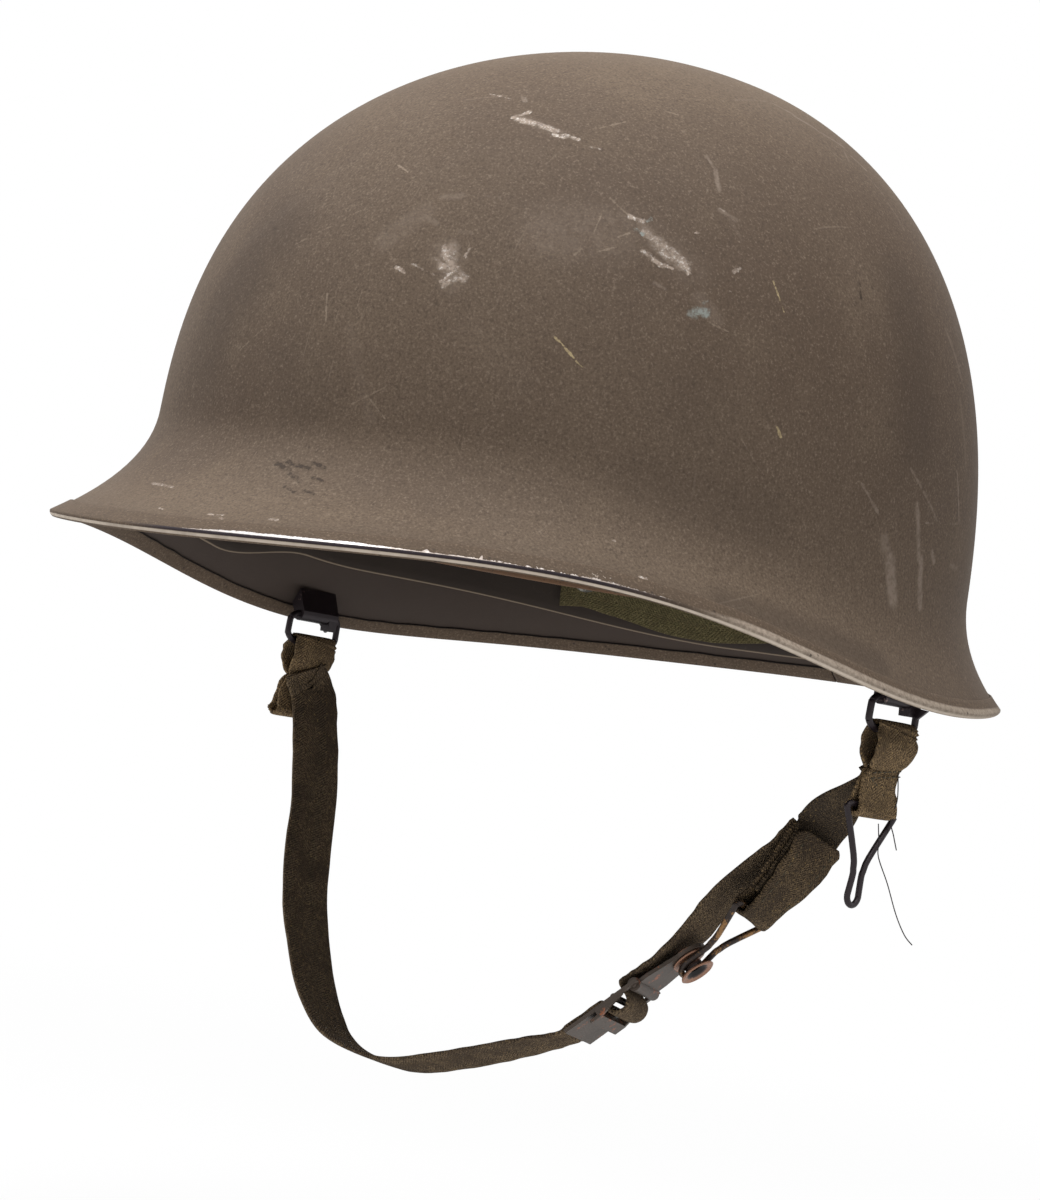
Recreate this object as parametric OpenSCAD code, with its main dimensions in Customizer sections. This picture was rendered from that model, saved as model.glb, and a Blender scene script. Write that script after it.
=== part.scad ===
// Two-piece steel helmet: a flared steel shell with a crimped rim, an inner liner with its head
// suspension, and a web chin strap that hangs from two wire loops and closes with a clip and a stud.
// Millimetres. +Z is up, the brim faces -Y and the wearer's left is +X.
// The origin is the middle of the head opening, level with the rim at the sides.

/* [Steel shell] */
// Half width of the dome at its upright side wall
dome_half_w = 108.5; // [102:0.5:116]
// Half length of the dome ahead of the middle
dome_front = 118; // [110:0.5:126]
// Half length of the dome behind the middle
dome_rear = 118; // [110:0.5:126]
// Height of the crown above the rim at the sides
crown_h = 164.5; // [150:0.5:178]
// How far the crown sits back of the middle
crown_back = 11.5; // [6:0.5:16]
// Thickness of the pressed steel
shell_t = 1.1; // [0.8:0.1:1.6]
// Squareness of the dome seen from above: 2 is an ellipse
plan_power = 2.05; // [2:0.01:2.3]
// How far the rim rises at the brim and falls at the back
rim_tilt = 7.7; // [6:0.1:9]
// How far the rim rises at both ends against the sides
rim_dip = 1.5; // [0:0.1:3]
// Bend of the rim between the brim, the sides and the back
rim_wave = -1.4; // [-2.4:0.1:-0.4]
// How far the rim hangs at the cheeks and behind the ears
rim_sag = -2.9; // [-4:0.1:-2]
// How far the rim climbs again at the middle of the back
rim_lift = 10; // [0:0.5:12]
// How far the brim flares out at the front
flare_front = 31; // [24:0.5:36]
// How far the rim flares out at the sides
flare_side = 11.6; // [9:0.1:14]
// How far the rim flares out at the back
flare_rear = 15.5; // [12:0.5:19]
// Height of the crimped rim strip's legs
strip_h = 4.5; // [3.5:0.1:6]
// Thickness of the rim strip
strip_t = 0.45; // [0.35:0.05:0.7]

/* [Liner] */
// Thickness of the liner's wall
liner_t = 1.9; // [1.5:0.1:2.6]
// Gap between the steel and the liner
liner_gap = 1.7; // [1.5:0.1:2.2]
// Height of the liner's edge above the rim at the front
edge_front = 3.2; // [2.5:0.1:6]
// Height of the liner's edge above the rim at the sides
edge_side = 18; // [17:0.5:22]
// Height of the liner's edge above the rim at the back
edge_rear = 7; // [5:0.5:10]
// Height of the suspension rivets above the side rim
rivet_z = 62; // [58:1:68]
// Diameter of a rivet head
rivet_head_d = 9; // [7:0.5:11]
// Diameter of a rivet shank
rivet_shank_d = 3; // [2.5:0.1:4]

/* [Suspension] */
// Room between the head band and the liner at the sides
band_room_side = 25.8; // [22:0.1:32]
// Room between the head band and the liner at the front and back
band_room_end = 16.3; // [14:0.1:22]
// Height of the head band web
band_h = 26; // [20:1:30]
// Height of the head band's lower edge above the side rim
band_z = 22; // [18:1:26]
// How far the head band sits back of the middle
band_back = 4; // [0:1:8]
// Thickness of the suspension web
web_t = 1.2; // [1:0.1:1.6]
// Width of a suspension web
arm_w = 19; // [15:1:24]
// Width of a sweatband hook
hook_w = 10; // [8:0.5:12]
// Height of a sweatband hook
hook_h = 9.2; // [7:0.1:11]
// Width of the sweatband's slider
slider_w = 16; // [14:0.5:18]
// Height of the sweatband's slider
slider_h = 14; // [12:0.5:16]
// Radius of the crown lace ring
lace_r = 24; // [18:1:30]
// Diameter of the crown lace
lace_d = 3; // [2.5:0.1:4]
// Height of the crown lace above the side rim
lace_z = 124; // [112:1:130]
// Height of the leather sweatband
sweat_h = 32; // [28:1:36]
// Thickness of the leather sweatband
sweat_t = 1.5; // [1.2:0.1:2]
// Height of the nape web above the side rim
nape_z = 26; // [22:1:32]

/* [Wire loops] */
// Direction of the loops from the brim, in degrees round the rim
loop_angle = 98; // [94:0.5:104]
// Width of a loop between its wire centres
loop_w = 18.5; // [17.5:0.1:22]
// Height of a loop between its wire centres
loop_h = 8.4; // [8:0.1:11]
// Diameter of the loop wire
loop_wire = 1.9; // [1.6:0.1:2.4]
// Distance of the loop's hinge bar inside the rim edge
loop_inset = 9.2; // [8:0.1:10]
// Height of the loop's hinge bar above the rim edge
loop_rise = 0.4; // [0:0.1:2]

/* [Chin strap] */
// Width of the strap webbing
strap_w = 15.6; // [13:0.1:16]
// Thickness of the strap webbing
strap_t = 1.4; // [1.1:0.1:1.7]
// Length of an anchor web from loop wire to lower hem wire
anchor_len = 20.5; // [18:0.5:24]
// Depth of the strap's stitched pivot below the loop wire
crease_drop = 11.5; // [10.5:0.5:13]
// Distance of the stud to the wearer's left of the middle
stud_out = 68; // [64:0.1:72]
// Distance of the stud behind the middle
stud_back = 0.9; // [-3:0.1:5]
// Depth of the stud below the side rim
stud_drop = 76.2; // [72:0.1:80]
// Length of the strap's folded sleeve
sleeve_len = 26; // [22:0.5:29]
// Length of the strap's free tail above the stud
tail_len = 31; // [25:1:40]
// How far an anchor web leans forward, as a share of its drop
anchor_lean = 0.17; // [0:0.01:0.2]
// Depth of the strap's lowest point below the side rim
chin_drop = 120; // [112:1:128]
// How far the strap's lowest point lies in front of the middle
chin_front = 21.6; // [16:0.2:27]

/* [Wire clips] */
// Diameter of the clip wire
clip_wire = 1.7; // [1.4:0.1:2]
// Width of a clip at its base bar, between wire centres
clip_w = 19.6; // [19:0.1:20.5]
// Length of a clip from its base bar to the middle of its nose
clip_len = 21; // [18:0.5:24]
// Radius of the spare clip's nose
spare_nose_r = 2.3; // [2:0.1:3]
// Half width of a clip at its neck
clip_neck = 1.8; // [1.5:0.1:2.2]

/* [Stud and buckle] */
// Diameter of the stud's flanges
stud_flange_d = 9.6; // [8.6:0.1:11]
// Diameter of the stud's waist
stud_waist_d = 5; // [4.2:0.1:5.6]
// Length of the stud's waist between its flanges
stud_waist_len = 2.7; // [2.5:0.1:3.2]
// Diameter of the stud's hollow
stud_hollow_d = 3.4; // [2.6:0.1:3.8]
// Thickness of the stud plate and the buckle's sheet
sheet_t = 1; // [0.8:0.1:1.4]
// Distance from the stud to the buckle's hinge bar
plate_len = 14.5; // [13:0.5:17]
// Overall width of the slide buckle
buckle_w = 19.6; // [19.4:0.1:22]
// Overall length of the slide buckle
buckle_len = 23.5; // [22.5:0.5:27]
// Diameter of the buckle's bars
bar_d = 1.9; // [1.6:0.1:2.2]

/* [Hidden] */

fit = 0.05;         // running clearance of metal in metal
soft = 0.3;         // clearance of webbing against other pieces
round_fn = 48;      // segments of a round bore or pin
cols = 72;          // mesh columns round the dome
rows = 20;          // mesh rows from the rim to the crown

olive = "#5b5140";
liner_olive = "#4a4636";
web_olive = "#59533a";
steel_grey = "#6f6c66";
dark_wire = "#3a3236";
leather = "#6b4a2f";

// Dome surface.
// A column angle runs from 0 at the brim, over 90 at the wearer's left, to 180 at the back.
function front_of(a) = pow(max(cos(a), 0), 2);
function rear_of(a) = pow(max(-cos(a), 0), 2);
function side_of(a) = 1 - front_of(a) - rear_of(a);
function blend(a, front, side, rear) = front * front_of(a) + side * side_of(a) + rear * rear_of(a);

rim_fine = 0.6;
function rim_height(a) = rim_tilt * cos(a) + rim_dip * (cos(2 * a) + 1) + rim_wave * cos(3 * a)
    + rim_sag * (cos(4 * a) - 1) + rim_fine * cos(5 * a) + rim_lift * pow(max(0, -cos(a)), 7);

function plan_radius(a) =
    let (half_len = cos(a) > 0 ? dome_front : dome_rear)
    pow(pow(abs(sin(a)) / dome_half_w, plan_power) + pow(abs(cos(a)) / half_len, plan_power),
        -1 / plan_power);

// How much of the plan radius the wall keeps at a height: upright below, rounding to the crown.
function wall_share(a, z) =
    let (power = blend(a, 2.6, 2.3, 2.45),
         upright_to = blend(a, 43, 43, -11),
         t = max(0, min(1, (z - upright_to) / (crown_h - upright_to))))
    sqrt(max(0, 1 - pow(t, power)));

function flare(a, rise) =
    let (front_share = cos(a) > 0 ? pow(cos(a), 3.2) : 0,
         side_share = cos(a) > 0 ? 1 - front_share : side_of(a),
         reach = flare_front * front_share + flare_side * side_share + flare_rear * rear_of(a),
         height = blend(a, 32.5, 30, 28),
         power = blend(a, 1.9, 2.15, 2.05))
    reach * pow(max(0, 1 - rise / height), power);

// Point of the steel's outer face: u is 0 at the rim and 1 at the crown.
function dome(a, u) =
    let (low = rim_height(a),
         z = low + (crown_h - low) * sin(90 * u),
         r = plan_radius(a) * wall_share(a, z) + flare(a, z - low))
    [r * sin(a), -r * cos(a) + crown_back * pow(max(z, 0) / crown_h, 2), z];

function unit(v) = v / norm(v);
function dome_normal(a, u) =
    let (du = 0.002, lo = max(0, u - du), hi = min(0.9995, u + du))
    unit(cross(dome(a, hi) - dome(a, lo), dome(a - 0.5, u) - dome(a + 0.5, u)));
function inside(a, u, depth) = dome(a, u) - depth * dome_normal(a, u);
// Mesh row on the dome for a height above the rim.
function row_at(a, rise) = asin(min(1, rise / (crown_h - rim_height(a)))) / 90;
function row_at_z(a, z) = row_at(a, z - rim_height(a));
function strip_top(a) = row_at(a, strip_h * 0.75);

// Meshes.
// A wall between an outer and an inner face, each given by its depth inside the dome.
module dome_wall(outer, inner, edge) {
    grid = [for (depth = [outer, inner], j = [0 : rows - 1], i = [0 : cols - 1])
        let (a = 360 * i / cols,
             u0 = edge ? row_at(a, blend(a, edge_front, edge_side, edge_rear)) : 0,
             u2 = edge ? u0 + 0.04 : strip_top(a))
        inside(a, j < 3 ? u0 + (u2 - u0) * j / 2 : u2 + (1 - u2) * pow((j - 2) / (rows - 2), 1.2), depth)];
    poles = [for (depth = [outer, inner]) [0, crown_back, crown_h - depth]];
    layer = rows * cols;
    next = function (i) (i + 1) % cols;
    at = function (k, j, i) k * layer + j * cols + i;
    faces = [
        for (j = [0 : rows - 2], i = [0 : cols - 1]) each [
            [at(0, j, i), at(0, j + 1, i), at(0, j + 1, next(i))],
            [at(0, j, i), at(0, j + 1, next(i)), at(0, j, next(i))],
            [at(1, j, i), at(1, j + 1, next(i)), at(1, j + 1, i)],
            [at(1, j, i), at(1, j, next(i)), at(1, j + 1, next(i))]],
        for (i = [0 : cols - 1]) each [
            [at(0, rows - 1, i), 2 * layer, at(0, rows - 1, next(i))],
            [at(1, rows - 1, next(i)), 2 * layer + 1, at(1, rows - 1, i)],
            [at(0, 0, i), at(0, 0, next(i)), at(1, 0, next(i))],
            [at(0, 0, i), at(1, 0, next(i)), at(1, 0, i)]]];
    polyhedron(concat(grid, poles), faces, convexity = 6);
}

// A closed skin over sections of equal size, capped at both ends.
module skin(sections) {
    n = len(sections);
    m = len(sections[0]);
    points = [for (s = sections) each s];
    sides = [for (k = [0 : n - 2], i = [0 : m - 1])
        let (p = k * m + i, q = k * m + (i + 1) % m)
        each [[p, q + m, q], [p, p + m, q + m]]];
    caps = [[for (i = [0 : m - 1]) i], [for (i = [m - 1 : -1 : 0]) (n - 1) * m + i]];
    polyhedron(points, concat(sides, caps), convexity = 6);
}

function clamp_at(list, i) = list[max(0, min(len(list) - 1, i))];
function spline(list, i, t) =
    let (p0 = clamp_at(list, i - 1), p1 = clamp_at(list, i), p2 = clamp_at(list, i + 1),
         p3 = clamp_at(list, i + 2))
    0.5 * (2 * p1 + (p2 - p0) * t + (2 * p0 - 5 * p1 + 4 * p2 - p3) * t * t
        + (3 * p1 - p0 - 3 * p2 + p3) * t * t * t);
function smooth(list, steps) = concat(
    [for (i = [0 : len(list) - 2], k = [0 : steps - 1]) spline(list, i, k / steps)],
    [list[len(list) - 1]]);
function cut_corners(list) = concat(
    [list[0]],
    [for (i = [0 : len(list) - 2], k = [0.25, 0.75]) list[i] * (1 - k) + list[i + 1] * k],
    [list[len(list) - 1]]);

// A flat web along a path: each path entry is [point, direction of the web's width].
module ribbon(path, width, thick) {
    spots = [for (p = path) p[0]];
    hints = [for (p = path) p[1]];
    last = len(spots) - 1;
    edge = min(0.4, thick / 3);
    outline = [[-1, 0.5], [-1, -0.5], [1, -0.5], [1, 0.5]];
    skin([for (k = [0 : last])
        let (along = unit(clamp_at(spots, k + 1) - clamp_at(spots, k - 1)),
             raw = hints[k],
             across = unit(raw - (raw * along) * along),
             up = cross(along, across))
        [for (c = outline, s = c[0] * c[1] > 0 ? [1, 0] : [0, 1])
            spots[k] + across * c[0] * (width / 2 - (s == 0 ? edge : 0))
                + up * c[1] * (thick - (s == 0 ? 0 : 2 * edge))]]);
}

// A frame with its own width, length and outward axes, placed in the part.
function axes_matrix(at, w, t, n) = [
    [w[0], t[0], n[0], at[0]],
    [w[1], t[1], n[1], at[1]],
    [w[2], t[2], n[2], at[2]],
    [0, 0, 0, 1]];
// A right-handed frame from its length direction and about where its outward side faces.
function frame(at, t, out) =
    let (length = unit(t), width = unit(cross(length, out)))
    [at, width, length, cross(width, length)];
module in_frame(f) multmatrix(axes_matrix(f[0], f[1], f[2], f[3])) children();
function frame_point(f, w, t, n) = f[0] + w * f[1] + t * f[2] + n * f[3];
function flip(p) = [-p[0], p[1], p[2]];

module rod(p, q, d) {
    v = q - p;
    translate(p)
        rotate([0, acos(v[2] / norm(v)), atan2(v[1], v[0])])
            cylinder(h = norm(v), d = d, $fn = round_fn);
}

// Steel shell and rim.
module steel_shell() color(olive) dome_wall(0, shell_t, false);

strip_gap = 0.08;
seam = 0.15;        // half of the butt seam, in degrees
module rim_strip() color(olive) {
    outer = strip_gap + strip_t;
    inner = shell_t + strip_gap + strip_t;
    skin([for (i = [0 : cols])
        let (a = 180 + (i == 0 ? seam : i == cols ? 360 - seam : 360 * i / cols),
             top = strip_top(a),
             mid = top / 2,
             down = -unit(dome(a, 0.01) - dome(a, 0)))
        [inside(a, top, -outer), inside(a, mid, -outer), inside(a, 0, -outer),
         inside(a, 0, -strip_gap) + down * outer, inside(a, 0, shell_t + strip_gap) + down * outer,
         inside(a, 0, inner), inside(a, mid, inner), inside(a, top, inner),
         inside(a, top, shell_t + strip_gap), inside(a, mid, shell_t + strip_gap),
         inside(a, 0, shell_t + strip_gap) + down * strip_gap, inside(a, 0, -strip_gap) + down * strip_gap,
         inside(a, mid, -strip_gap), inside(a, top, -strip_gap)]]);
}

// Wire loops and their lugs, drawn for the wearer's left.
rim_at = dome(loop_angle, 0);
hinge_at = [rim_at[0] - loop_inset, rim_at[1], rim_at[2] + loop_rise];
low_bar = hinge_at - [0, 0, loop_h];
lug_w = loop_w - loop_wire - 2;
lug_r = loop_wire / 2 + fit + 1.1;
cheek_w = 3.4;
cheek_drop = 1.9;
tab_t = 0.8;
module hinge_lug() {
    corner = loop_angle + asin(lug_w / 2 / dome_half_w);
    foot = [for (rise = [strip_h * 0.75 + 1.2, 6.5, 9]) inside(corner, row_at(corner, rise), shell_t + 0.1)];
    low = -lug_r - cheek_drop;
    // A length of the lug's side outline, from its rear face.
    module slice(length)
        translate([0, hinge_at[1] + lug_w / 2, 0]) rotate([90, 0, 0]) linear_extrude(length) children();
    difference() {
        union() {
            slice(lug_w) {
                polygon([[foot[0][0], foot[0][2]], [foot[1][0], foot[1][2]], [foot[2][0], foot[2][2]],
                         [hinge_at[0] - lug_r, hinge_at[2] + 1], [hinge_at[0] - lug_r, hinge_at[2]],
                         [hinge_at[0] + lug_r, hinge_at[2]]]);
                translate([hinge_at[0], hinge_at[2]]) circle(r = lug_r, $fn = round_fn);
            }
            // The rear cheek hangs beside the loop's leg, with a small outward tab.
            slice(cheek_w)
                translate([hinge_at[0], hinge_at[2]])
                    polygon([[-lug_r + 0.1, 0], [-lug_r + 0.4, low], [lug_r - 0.6, low], [lug_r - 0.1, 0]]);
            slice(tab_t)
                translate([hinge_at[0], hinge_at[2]])
                    polygon([[1.3, -1.4], [1.3, low + 0.3], [2.4, low - 0.4], [5.4, -1.8]]);
        }
        translate([hinge_at[0], hinge_at[1] + lug_w, hinge_at[2]])
            rotate([90, 0, 0])
                cylinder(h = 2 * lug_w, r = loop_wire / 2 + fit, $fn = round_fn);
    }
}
module hinge_lug_left() color(steel_grey) hinge_lug();
module hinge_lug_right() color(steel_grey) mirror([1, 0, 0]) hinge_lug();

// A closed wire rectangle with round corners, in the YZ plane, its upper bar through the origin.
module wire_loop(w, h, wire, bend) {
    for (s = [-1, 1]) {
        rod([0, s * w / 2, -bend], [0, s * w / 2, -h + bend], wire);
        for (low = [0, 1])
            translate([0, s * (w / 2 - bend), low ? -h + bend : -bend])
                rotate([0, 90, 0])
                    rotate([0, 0, s > 0 ? (low ? 0 : 90) : (low ? 270 : 180)])
                        rotate_extrude(angle = 90, $fn = round_fn)
                            translate([bend, 0]) circle(d = wire, $fn = 24);
    }
    for (z = [0, -h]) rod([0, -w / 2 + bend, z], [0, w / 2 - bend, z], wire);
}
loop_bend = 2;
module bale() translate(hinge_at) wire_loop(loop_w, loop_h, loop_wire, loop_bend);
module bale_left() color(dark_wire) bale();
module bale_right() color(dark_wire) mirror([1, 0, 0]) bale();

// Liner and head suspension.
liner_out = shell_t + liner_gap;
liner_in = liner_out + liner_t;
module liner_shell() color(liner_olive) dome_wall(liner_out, liner_in, true);

arm_angles = [30, 90, 150, 210, 270, 330];
// A frame on the liner's inner face at a height: width round the dome, length up, outward normal.
function wall_frame(a, z, depth) =
    let (u = row_at_z(a, z), n = dome_normal(a, u), w = unit([-n[1], n[0], 0]))
    [inside(a, u, depth), w, unit(cross(n, w)), n];
washer_t = 0.8;
// A flat piece inside the curved wall stands off by this much.
stand_off = 1.15;
washer_n = -stand_off - web_t - 0.25;
module liner_rivets() color(steel_grey)
    for (a = arm_angles)
        in_frame(wall_frame(a, rivet_z, liner_in)) {
            translate([0, 0, washer_n - washer_t - 0.6])
                cylinder(h = liner_t + 0.3 - washer_n + washer_t + 0.6, d = rivet_shank_d, $fn = round_fn);
            translate([0, 0, liner_t + 0.12])
                cylinder(h = 1.1, d1 = rivet_head_d, d2 = rivet_head_d - 3, $fn = round_fn);
            translate([0, 0, washer_n - washer_t - 0.9])
                cylinder(h = 0.85, d = rivet_shank_d + 2, $fn = round_fn);
        }

washer_w = 22;
washer_h = 17;
module a_washers() color(steel_grey)
    for (a = arm_angles)
        in_frame(wall_frame(a, rivet_z, liner_in))
            translate([0, 0, washer_n - washer_t])
                linear_extrude(washer_t)
                    difference() {
                        polygon([[-washer_w / 2, -washer_h / 2], [washer_w / 2, -washer_h / 2],
                                 [washer_w / 2, -washer_h / 4], [washer_w / 6, washer_h / 2],
                                 [-washer_w / 6, washer_h / 2], [-washer_w / 2, -washer_h / 4]]);
                        circle(d = rivet_shank_d + 2 * fit, $fn = round_fn);
                    }

band_half_w = dome_half_w - liner_in - band_room_side;
band_half_l = (dome_front + dome_rear) / 2 - liner_in - band_room_end;
function band_at(a, extra) = [(band_half_w + extra) * sin(a), band_back - (band_half_l + extra) * cos(a)];
function band_normal(a) = let (v = [band_half_l * sin(a), -band_half_w * cos(a)]) v / norm(v);
module band_ring(half_w, half_l, thick, high, gap_angle = 0)
    linear_extrude(high)
        difference() {
            scale([1, half_l / half_w]) circle(r = half_w, $fn = 192);
            scale([1, (half_l - thick) / (half_w - thick)]) circle(r = half_w - thick, $fn = 192);
            if (gap_angle > 0)
                polygon([[0, 0],
                         for (s = [-1, 1]) 2 * half_l * [sin(180 + s * gap_angle), -cos(180 + s * gap_angle)]]);
        }
module head_band() color(web_olive)
    translate([0, band_back, band_z]) band_ring(band_half_w, band_half_l, web_t, band_h, 0.15);
module sweatband() color(leather)
    translate([0, band_back, band_z - 2])
        band_ring(band_half_w - web_t - 0.2, band_half_l - web_t - 0.2, sweat_t, sweat_h, 3);

// Point of the head band straight inside a place on the liner, seen from above.
function band_below(f) =
    let (p = [f[0][0], f[0][1] - band_back], d = -unit([f[3][0], f[3][1]]),
         s = [1 / (band_half_w * band_half_w), 1 / (band_half_l * band_half_l)],
         dot2 = function (u, v) u[0] * v[0] * s[0] + u[1] * v[1] * s[1],
         half_b = dot2(p, d),
         reach = (-half_b - sqrt(half_b * half_b - dot2(d, d) * (dot2(p, p) - 1))) / dot2(d, d),
         hit = p + reach * d)
    [hit + [0, band_back], unit([hit[0] * s[0], hit[1] * s[1]])];

// Each arm rises from the head band to its rivet on the liner and on to the crown lace.
lace_mid = [0, (band_back + crown_back) / 2, lace_z];
module cradle_arms() color(web_olive)
    for (a = arm_angles) {
        f = wall_frame(a, rivet_z, liner_in);
        n = -stand_off - web_t / 2;
        below = band_below(f);
        b = below[0] + (web_t / 2 + soft) * below[1];
        knee = [b[0], b[1], band_z + band_h];
        seat = frame_point(f, 0, -washer_h / 2 - 4, n - 0.8);
        brow = frame_point(f, 0, washer_h / 2 + 4, n - 0.8);
        goal = lace_mid + (lace_r + lace_d / 2 + soft + web_t / 2) * unit([sin(a), -cos(a), 0]);
        low = [-below[1][1], below[1][0], 0];
        path = [[knee - [0, 0, band_h * 0.65], low], [knee - [0, 0, 2], low],
                [knee * 0.75 + seat * 0.25, f[1]], [seat, f[1]],
                [frame_point(f, 0, -washer_h / 2 - 1, n), f[1]],
                [frame_point(f, 0, 0, n), f[1]], [frame_point(f, 0, washer_h / 2 + 1, n), f[1]], [brow, f[1]],
                for (k = [0.12, 0.4, 0.7, 1]) [brow * (1 - k) + goal * k + [0, 0, 3 * sin(180 * k)], f[1]]];
        ribbon(cut_corners(path), arm_w, web_t);
    }

module crown_lace() color(web_olive)
    translate(lace_mid)
        rotate_extrude($fn = 72) translate([lace_r, 0]) circle(d = lace_d, $fn = 24);

clip_angles = [15, 60, 120, 240, 300, 345];
module sweatband_clips() color(steel_grey)
    for (a = clip_angles) {
        p = band_at(a, 0);
        n = concat(band_normal(a), 0);
        grip = web_t + 0.2 + sweat_t;
        top = band_z - 2 + max(sweat_h, band_h + 2);
        multmatrix(axes_matrix([p[0], p[1], top], [-n[1], n[0], 0], [0, 0, 1], n))
            translate([-hook_w / 2, 0.2 - hook_h, 0]) {
                translate([0, 0, 0.15]) cube([hook_w, hook_h, 0.5]);
                translate([0, 0, -grip - 0.75]) cube([hook_w, hook_h, 0.5]);
                translate([0, hook_h, -grip - 0.75]) cube([hook_w, 0.5, grip + 1.4]);
            }
    }

module sweatband_buckle() color(steel_grey)
    translate([0, band_back + band_half_l - web_t - sweat_t - 0.2 - 0.9, band_z - 2 + sweat_h / 2])
        rotate([90, 0, 0])
            linear_extrude(1)
                difference() {
                    square([slider_w, slider_h], center = true);
                    for (s = [-1, 1])
                        translate([s * slider_w * 0.225, 0])
                            square([slider_w / 4, slider_h * 0.68], center = true);
                }

nape_angles = [142, 180, 218];
function nape_frame(a) = wall_frame(a, nape_z, liner_in);
module nape_studs() color(steel_grey)
    for (a = nape_angles)
        in_frame(nape_frame(a)) {
            translate([0, 0, -web_t - 1.5]) cylinder(h = web_t + 2.4, d = 3, $fn = round_fn);
            translate([0, 0, -web_t - 2.1]) cylinder(h = 1.2, d = 9, $fn = round_fn);
        }
module nape_web() color(web_olive) {
    sag = 8;
    ribbon([for (a = [138 : 2 : 222])
        let (f = nape_frame(a), to = abs(sin(3 * (a - 180) * 180 / 114)))
        [frame_point(f, 0, -sag * to * 0.3, -0.4 - web_t / 2 - sag * to * to), f[2]]], arm_w, web_t);
}

// Chin strap.
// Two frames hold the strap's straight stretches: width, length towards the chin, outward.
stud_at = [stud_out, stud_back, -stud_drop];
plate_frame = frame(stud_at, [-0.606, -0.36, -0.71], [0.72, 0.132, -0.682]);
// The clip lies in the stud's waist, above the plate; both frames meet in the waist's middle.
waist_n = sheet_t / 2 + 0.9 + stud_waist_len / 2;
clip_axes = frame(stud_at, [-0.534, -0.346, -0.771], [0.809, 0.042, -0.58]);
clip_frame = [stud_at + waist_n * (plate_frame[3] - clip_axes[3]), clip_axes[1], clip_axes[2], clip_axes[3]];

hem_r = strap_t + loop_wire / 2 + 0.2;
crease_at = low_bar - [strap_t + soft + strap_t / 2, anchor_lean * crease_drop, crease_drop];
hem_bar = low_bar - [0, anchor_lean * anchor_len, anchor_len];
lean = [[1, 0, 0, 0], [0, 1, anchor_lean, -anchor_lean * low_bar[2]], [0, 0, 1, 0], [0, 0, 0, 1]];
module anchor_web(with_clip) {
    low_r = clip_wire / 2 + 0.2 + strap_t;
    multmatrix(lean)
        translate([0, low_bar[1] + strap_w / 2, 0]) rotate([90, 0, 0])
            linear_extrude(strap_w)
                difference() {
                    union() {
                        translate([low_bar[0], low_bar[2]]) circle(r = hem_r, $fn = round_fn);
                        translate([hem_bar[0], hem_bar[2]]) circle(r = low_r, $fn = round_fn);
                        translate([low_bar[0] - strap_t, hem_bar[2]]) square([2 * strap_t, anchor_len]);
                    }
                    translate([low_bar[0], low_bar[2]]) circle(r = hem_r - strap_t, $fn = round_fn);
                    if (with_clip)
                        translate([hem_bar[0], hem_bar[2]]) circle(r = low_r - strap_t, $fn = round_fn);
                }
}
module anchor_web_left() color(web_olive) anchor_web(true);
module anchor_web_right() color(web_olive) mirror([1, 0, 0]) anchor_web(false);

// A round wire along a path in the XY plane.
module flat_wire(path, d, sides = 10) {
    last = len(path) - 1;
    skin([for (k = [0 : last])
        let (along = unit(clamp_at(path, k + 1) - clamp_at(path, k - 1)), across = [-along[1], along[0], 0])
        [for (i = [0 : sides - 1])
            path[k] + d / 2 * (across * cos(360 * i / sides) + [0, 0, 1] * sin(360 * i / sides))]]);
}
function arc(mid, r, from, to, steps) =
    [for (i = [0 : steps]) let (a = from + (to - from) * i / steps) mid + r * [cos(a), sin(a), 0]];

// A bent wire clip in its own frame: base bar along the width, nose down the length. The wire's
// ends meet in the middle of the base bar.
module wire_clip(nose_r) {
    half = clip_w / 2;
    bend = 1.2;
    neck = [max(clip_neck, nose_r * 0.7), clip_len - nose_r - 3, 0];
    right = concat([[0.15, 0, 0], [half / 2, 0, 0]],
                   arc([half - bend, bend, 0], bend, -90, 10, 5),
                   [neck + [1.2, -3.4, 0], neck, neck + [0.1, 0.9, 0]],
                   arc([0, clip_len, 0], nose_r, -8, 90, 6));
    left = [for (i = [len(right) - 2 : -1 : 0]) flip(right[i])];
    flat_wire(concat(right, left), clip_wire);
}
hem_frame = [hem_bar, [0, 1, 0], [0, 0, -1], [-1, 0, 0]];
module spare_clip() color(dark_wire) in_frame(hem_frame) wire_clip(spare_nose_r);

lower_nose_r = (stud_waist_d + clip_wire) / 2 + 0.3;
module lower_clip() color(dark_wire)
    in_frame(clip_frame)
        translate([0, -clip_len, waist_n]) wire_clip(lower_nose_r);

// The sleeve is folded round the clip's base bar and takes the strap's end between its layers.
sleeve_r = clip_wire / 2 + 0.2 + strap_t;
layer = strap_t / 2 + 0.3;
module clip_sleeve() color(web_olive)
    in_frame(clip_frame)
        translate([-strap_w / 2, -clip_len, waist_n])
            rotate([90, 0, 90])
                linear_extrude(strap_w)
                    difference() {
                        union() {
                            circle(r = sleeve_r, $fn = round_fn);
                            translate([-sleeve_len, -layer - strap_t])
                                square([sleeve_len, 2 * (layer + strap_t)]);
                        }
                        circle(r = clip_wire / 2 + 0.2, $fn = round_fn);
                        translate([-sleeve_len - 1, -layer]) square([sleeve_len + 1 - 5.5, 2 * layer]);
                    }

sleeve_end = clip_len + sleeve_len;
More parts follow.
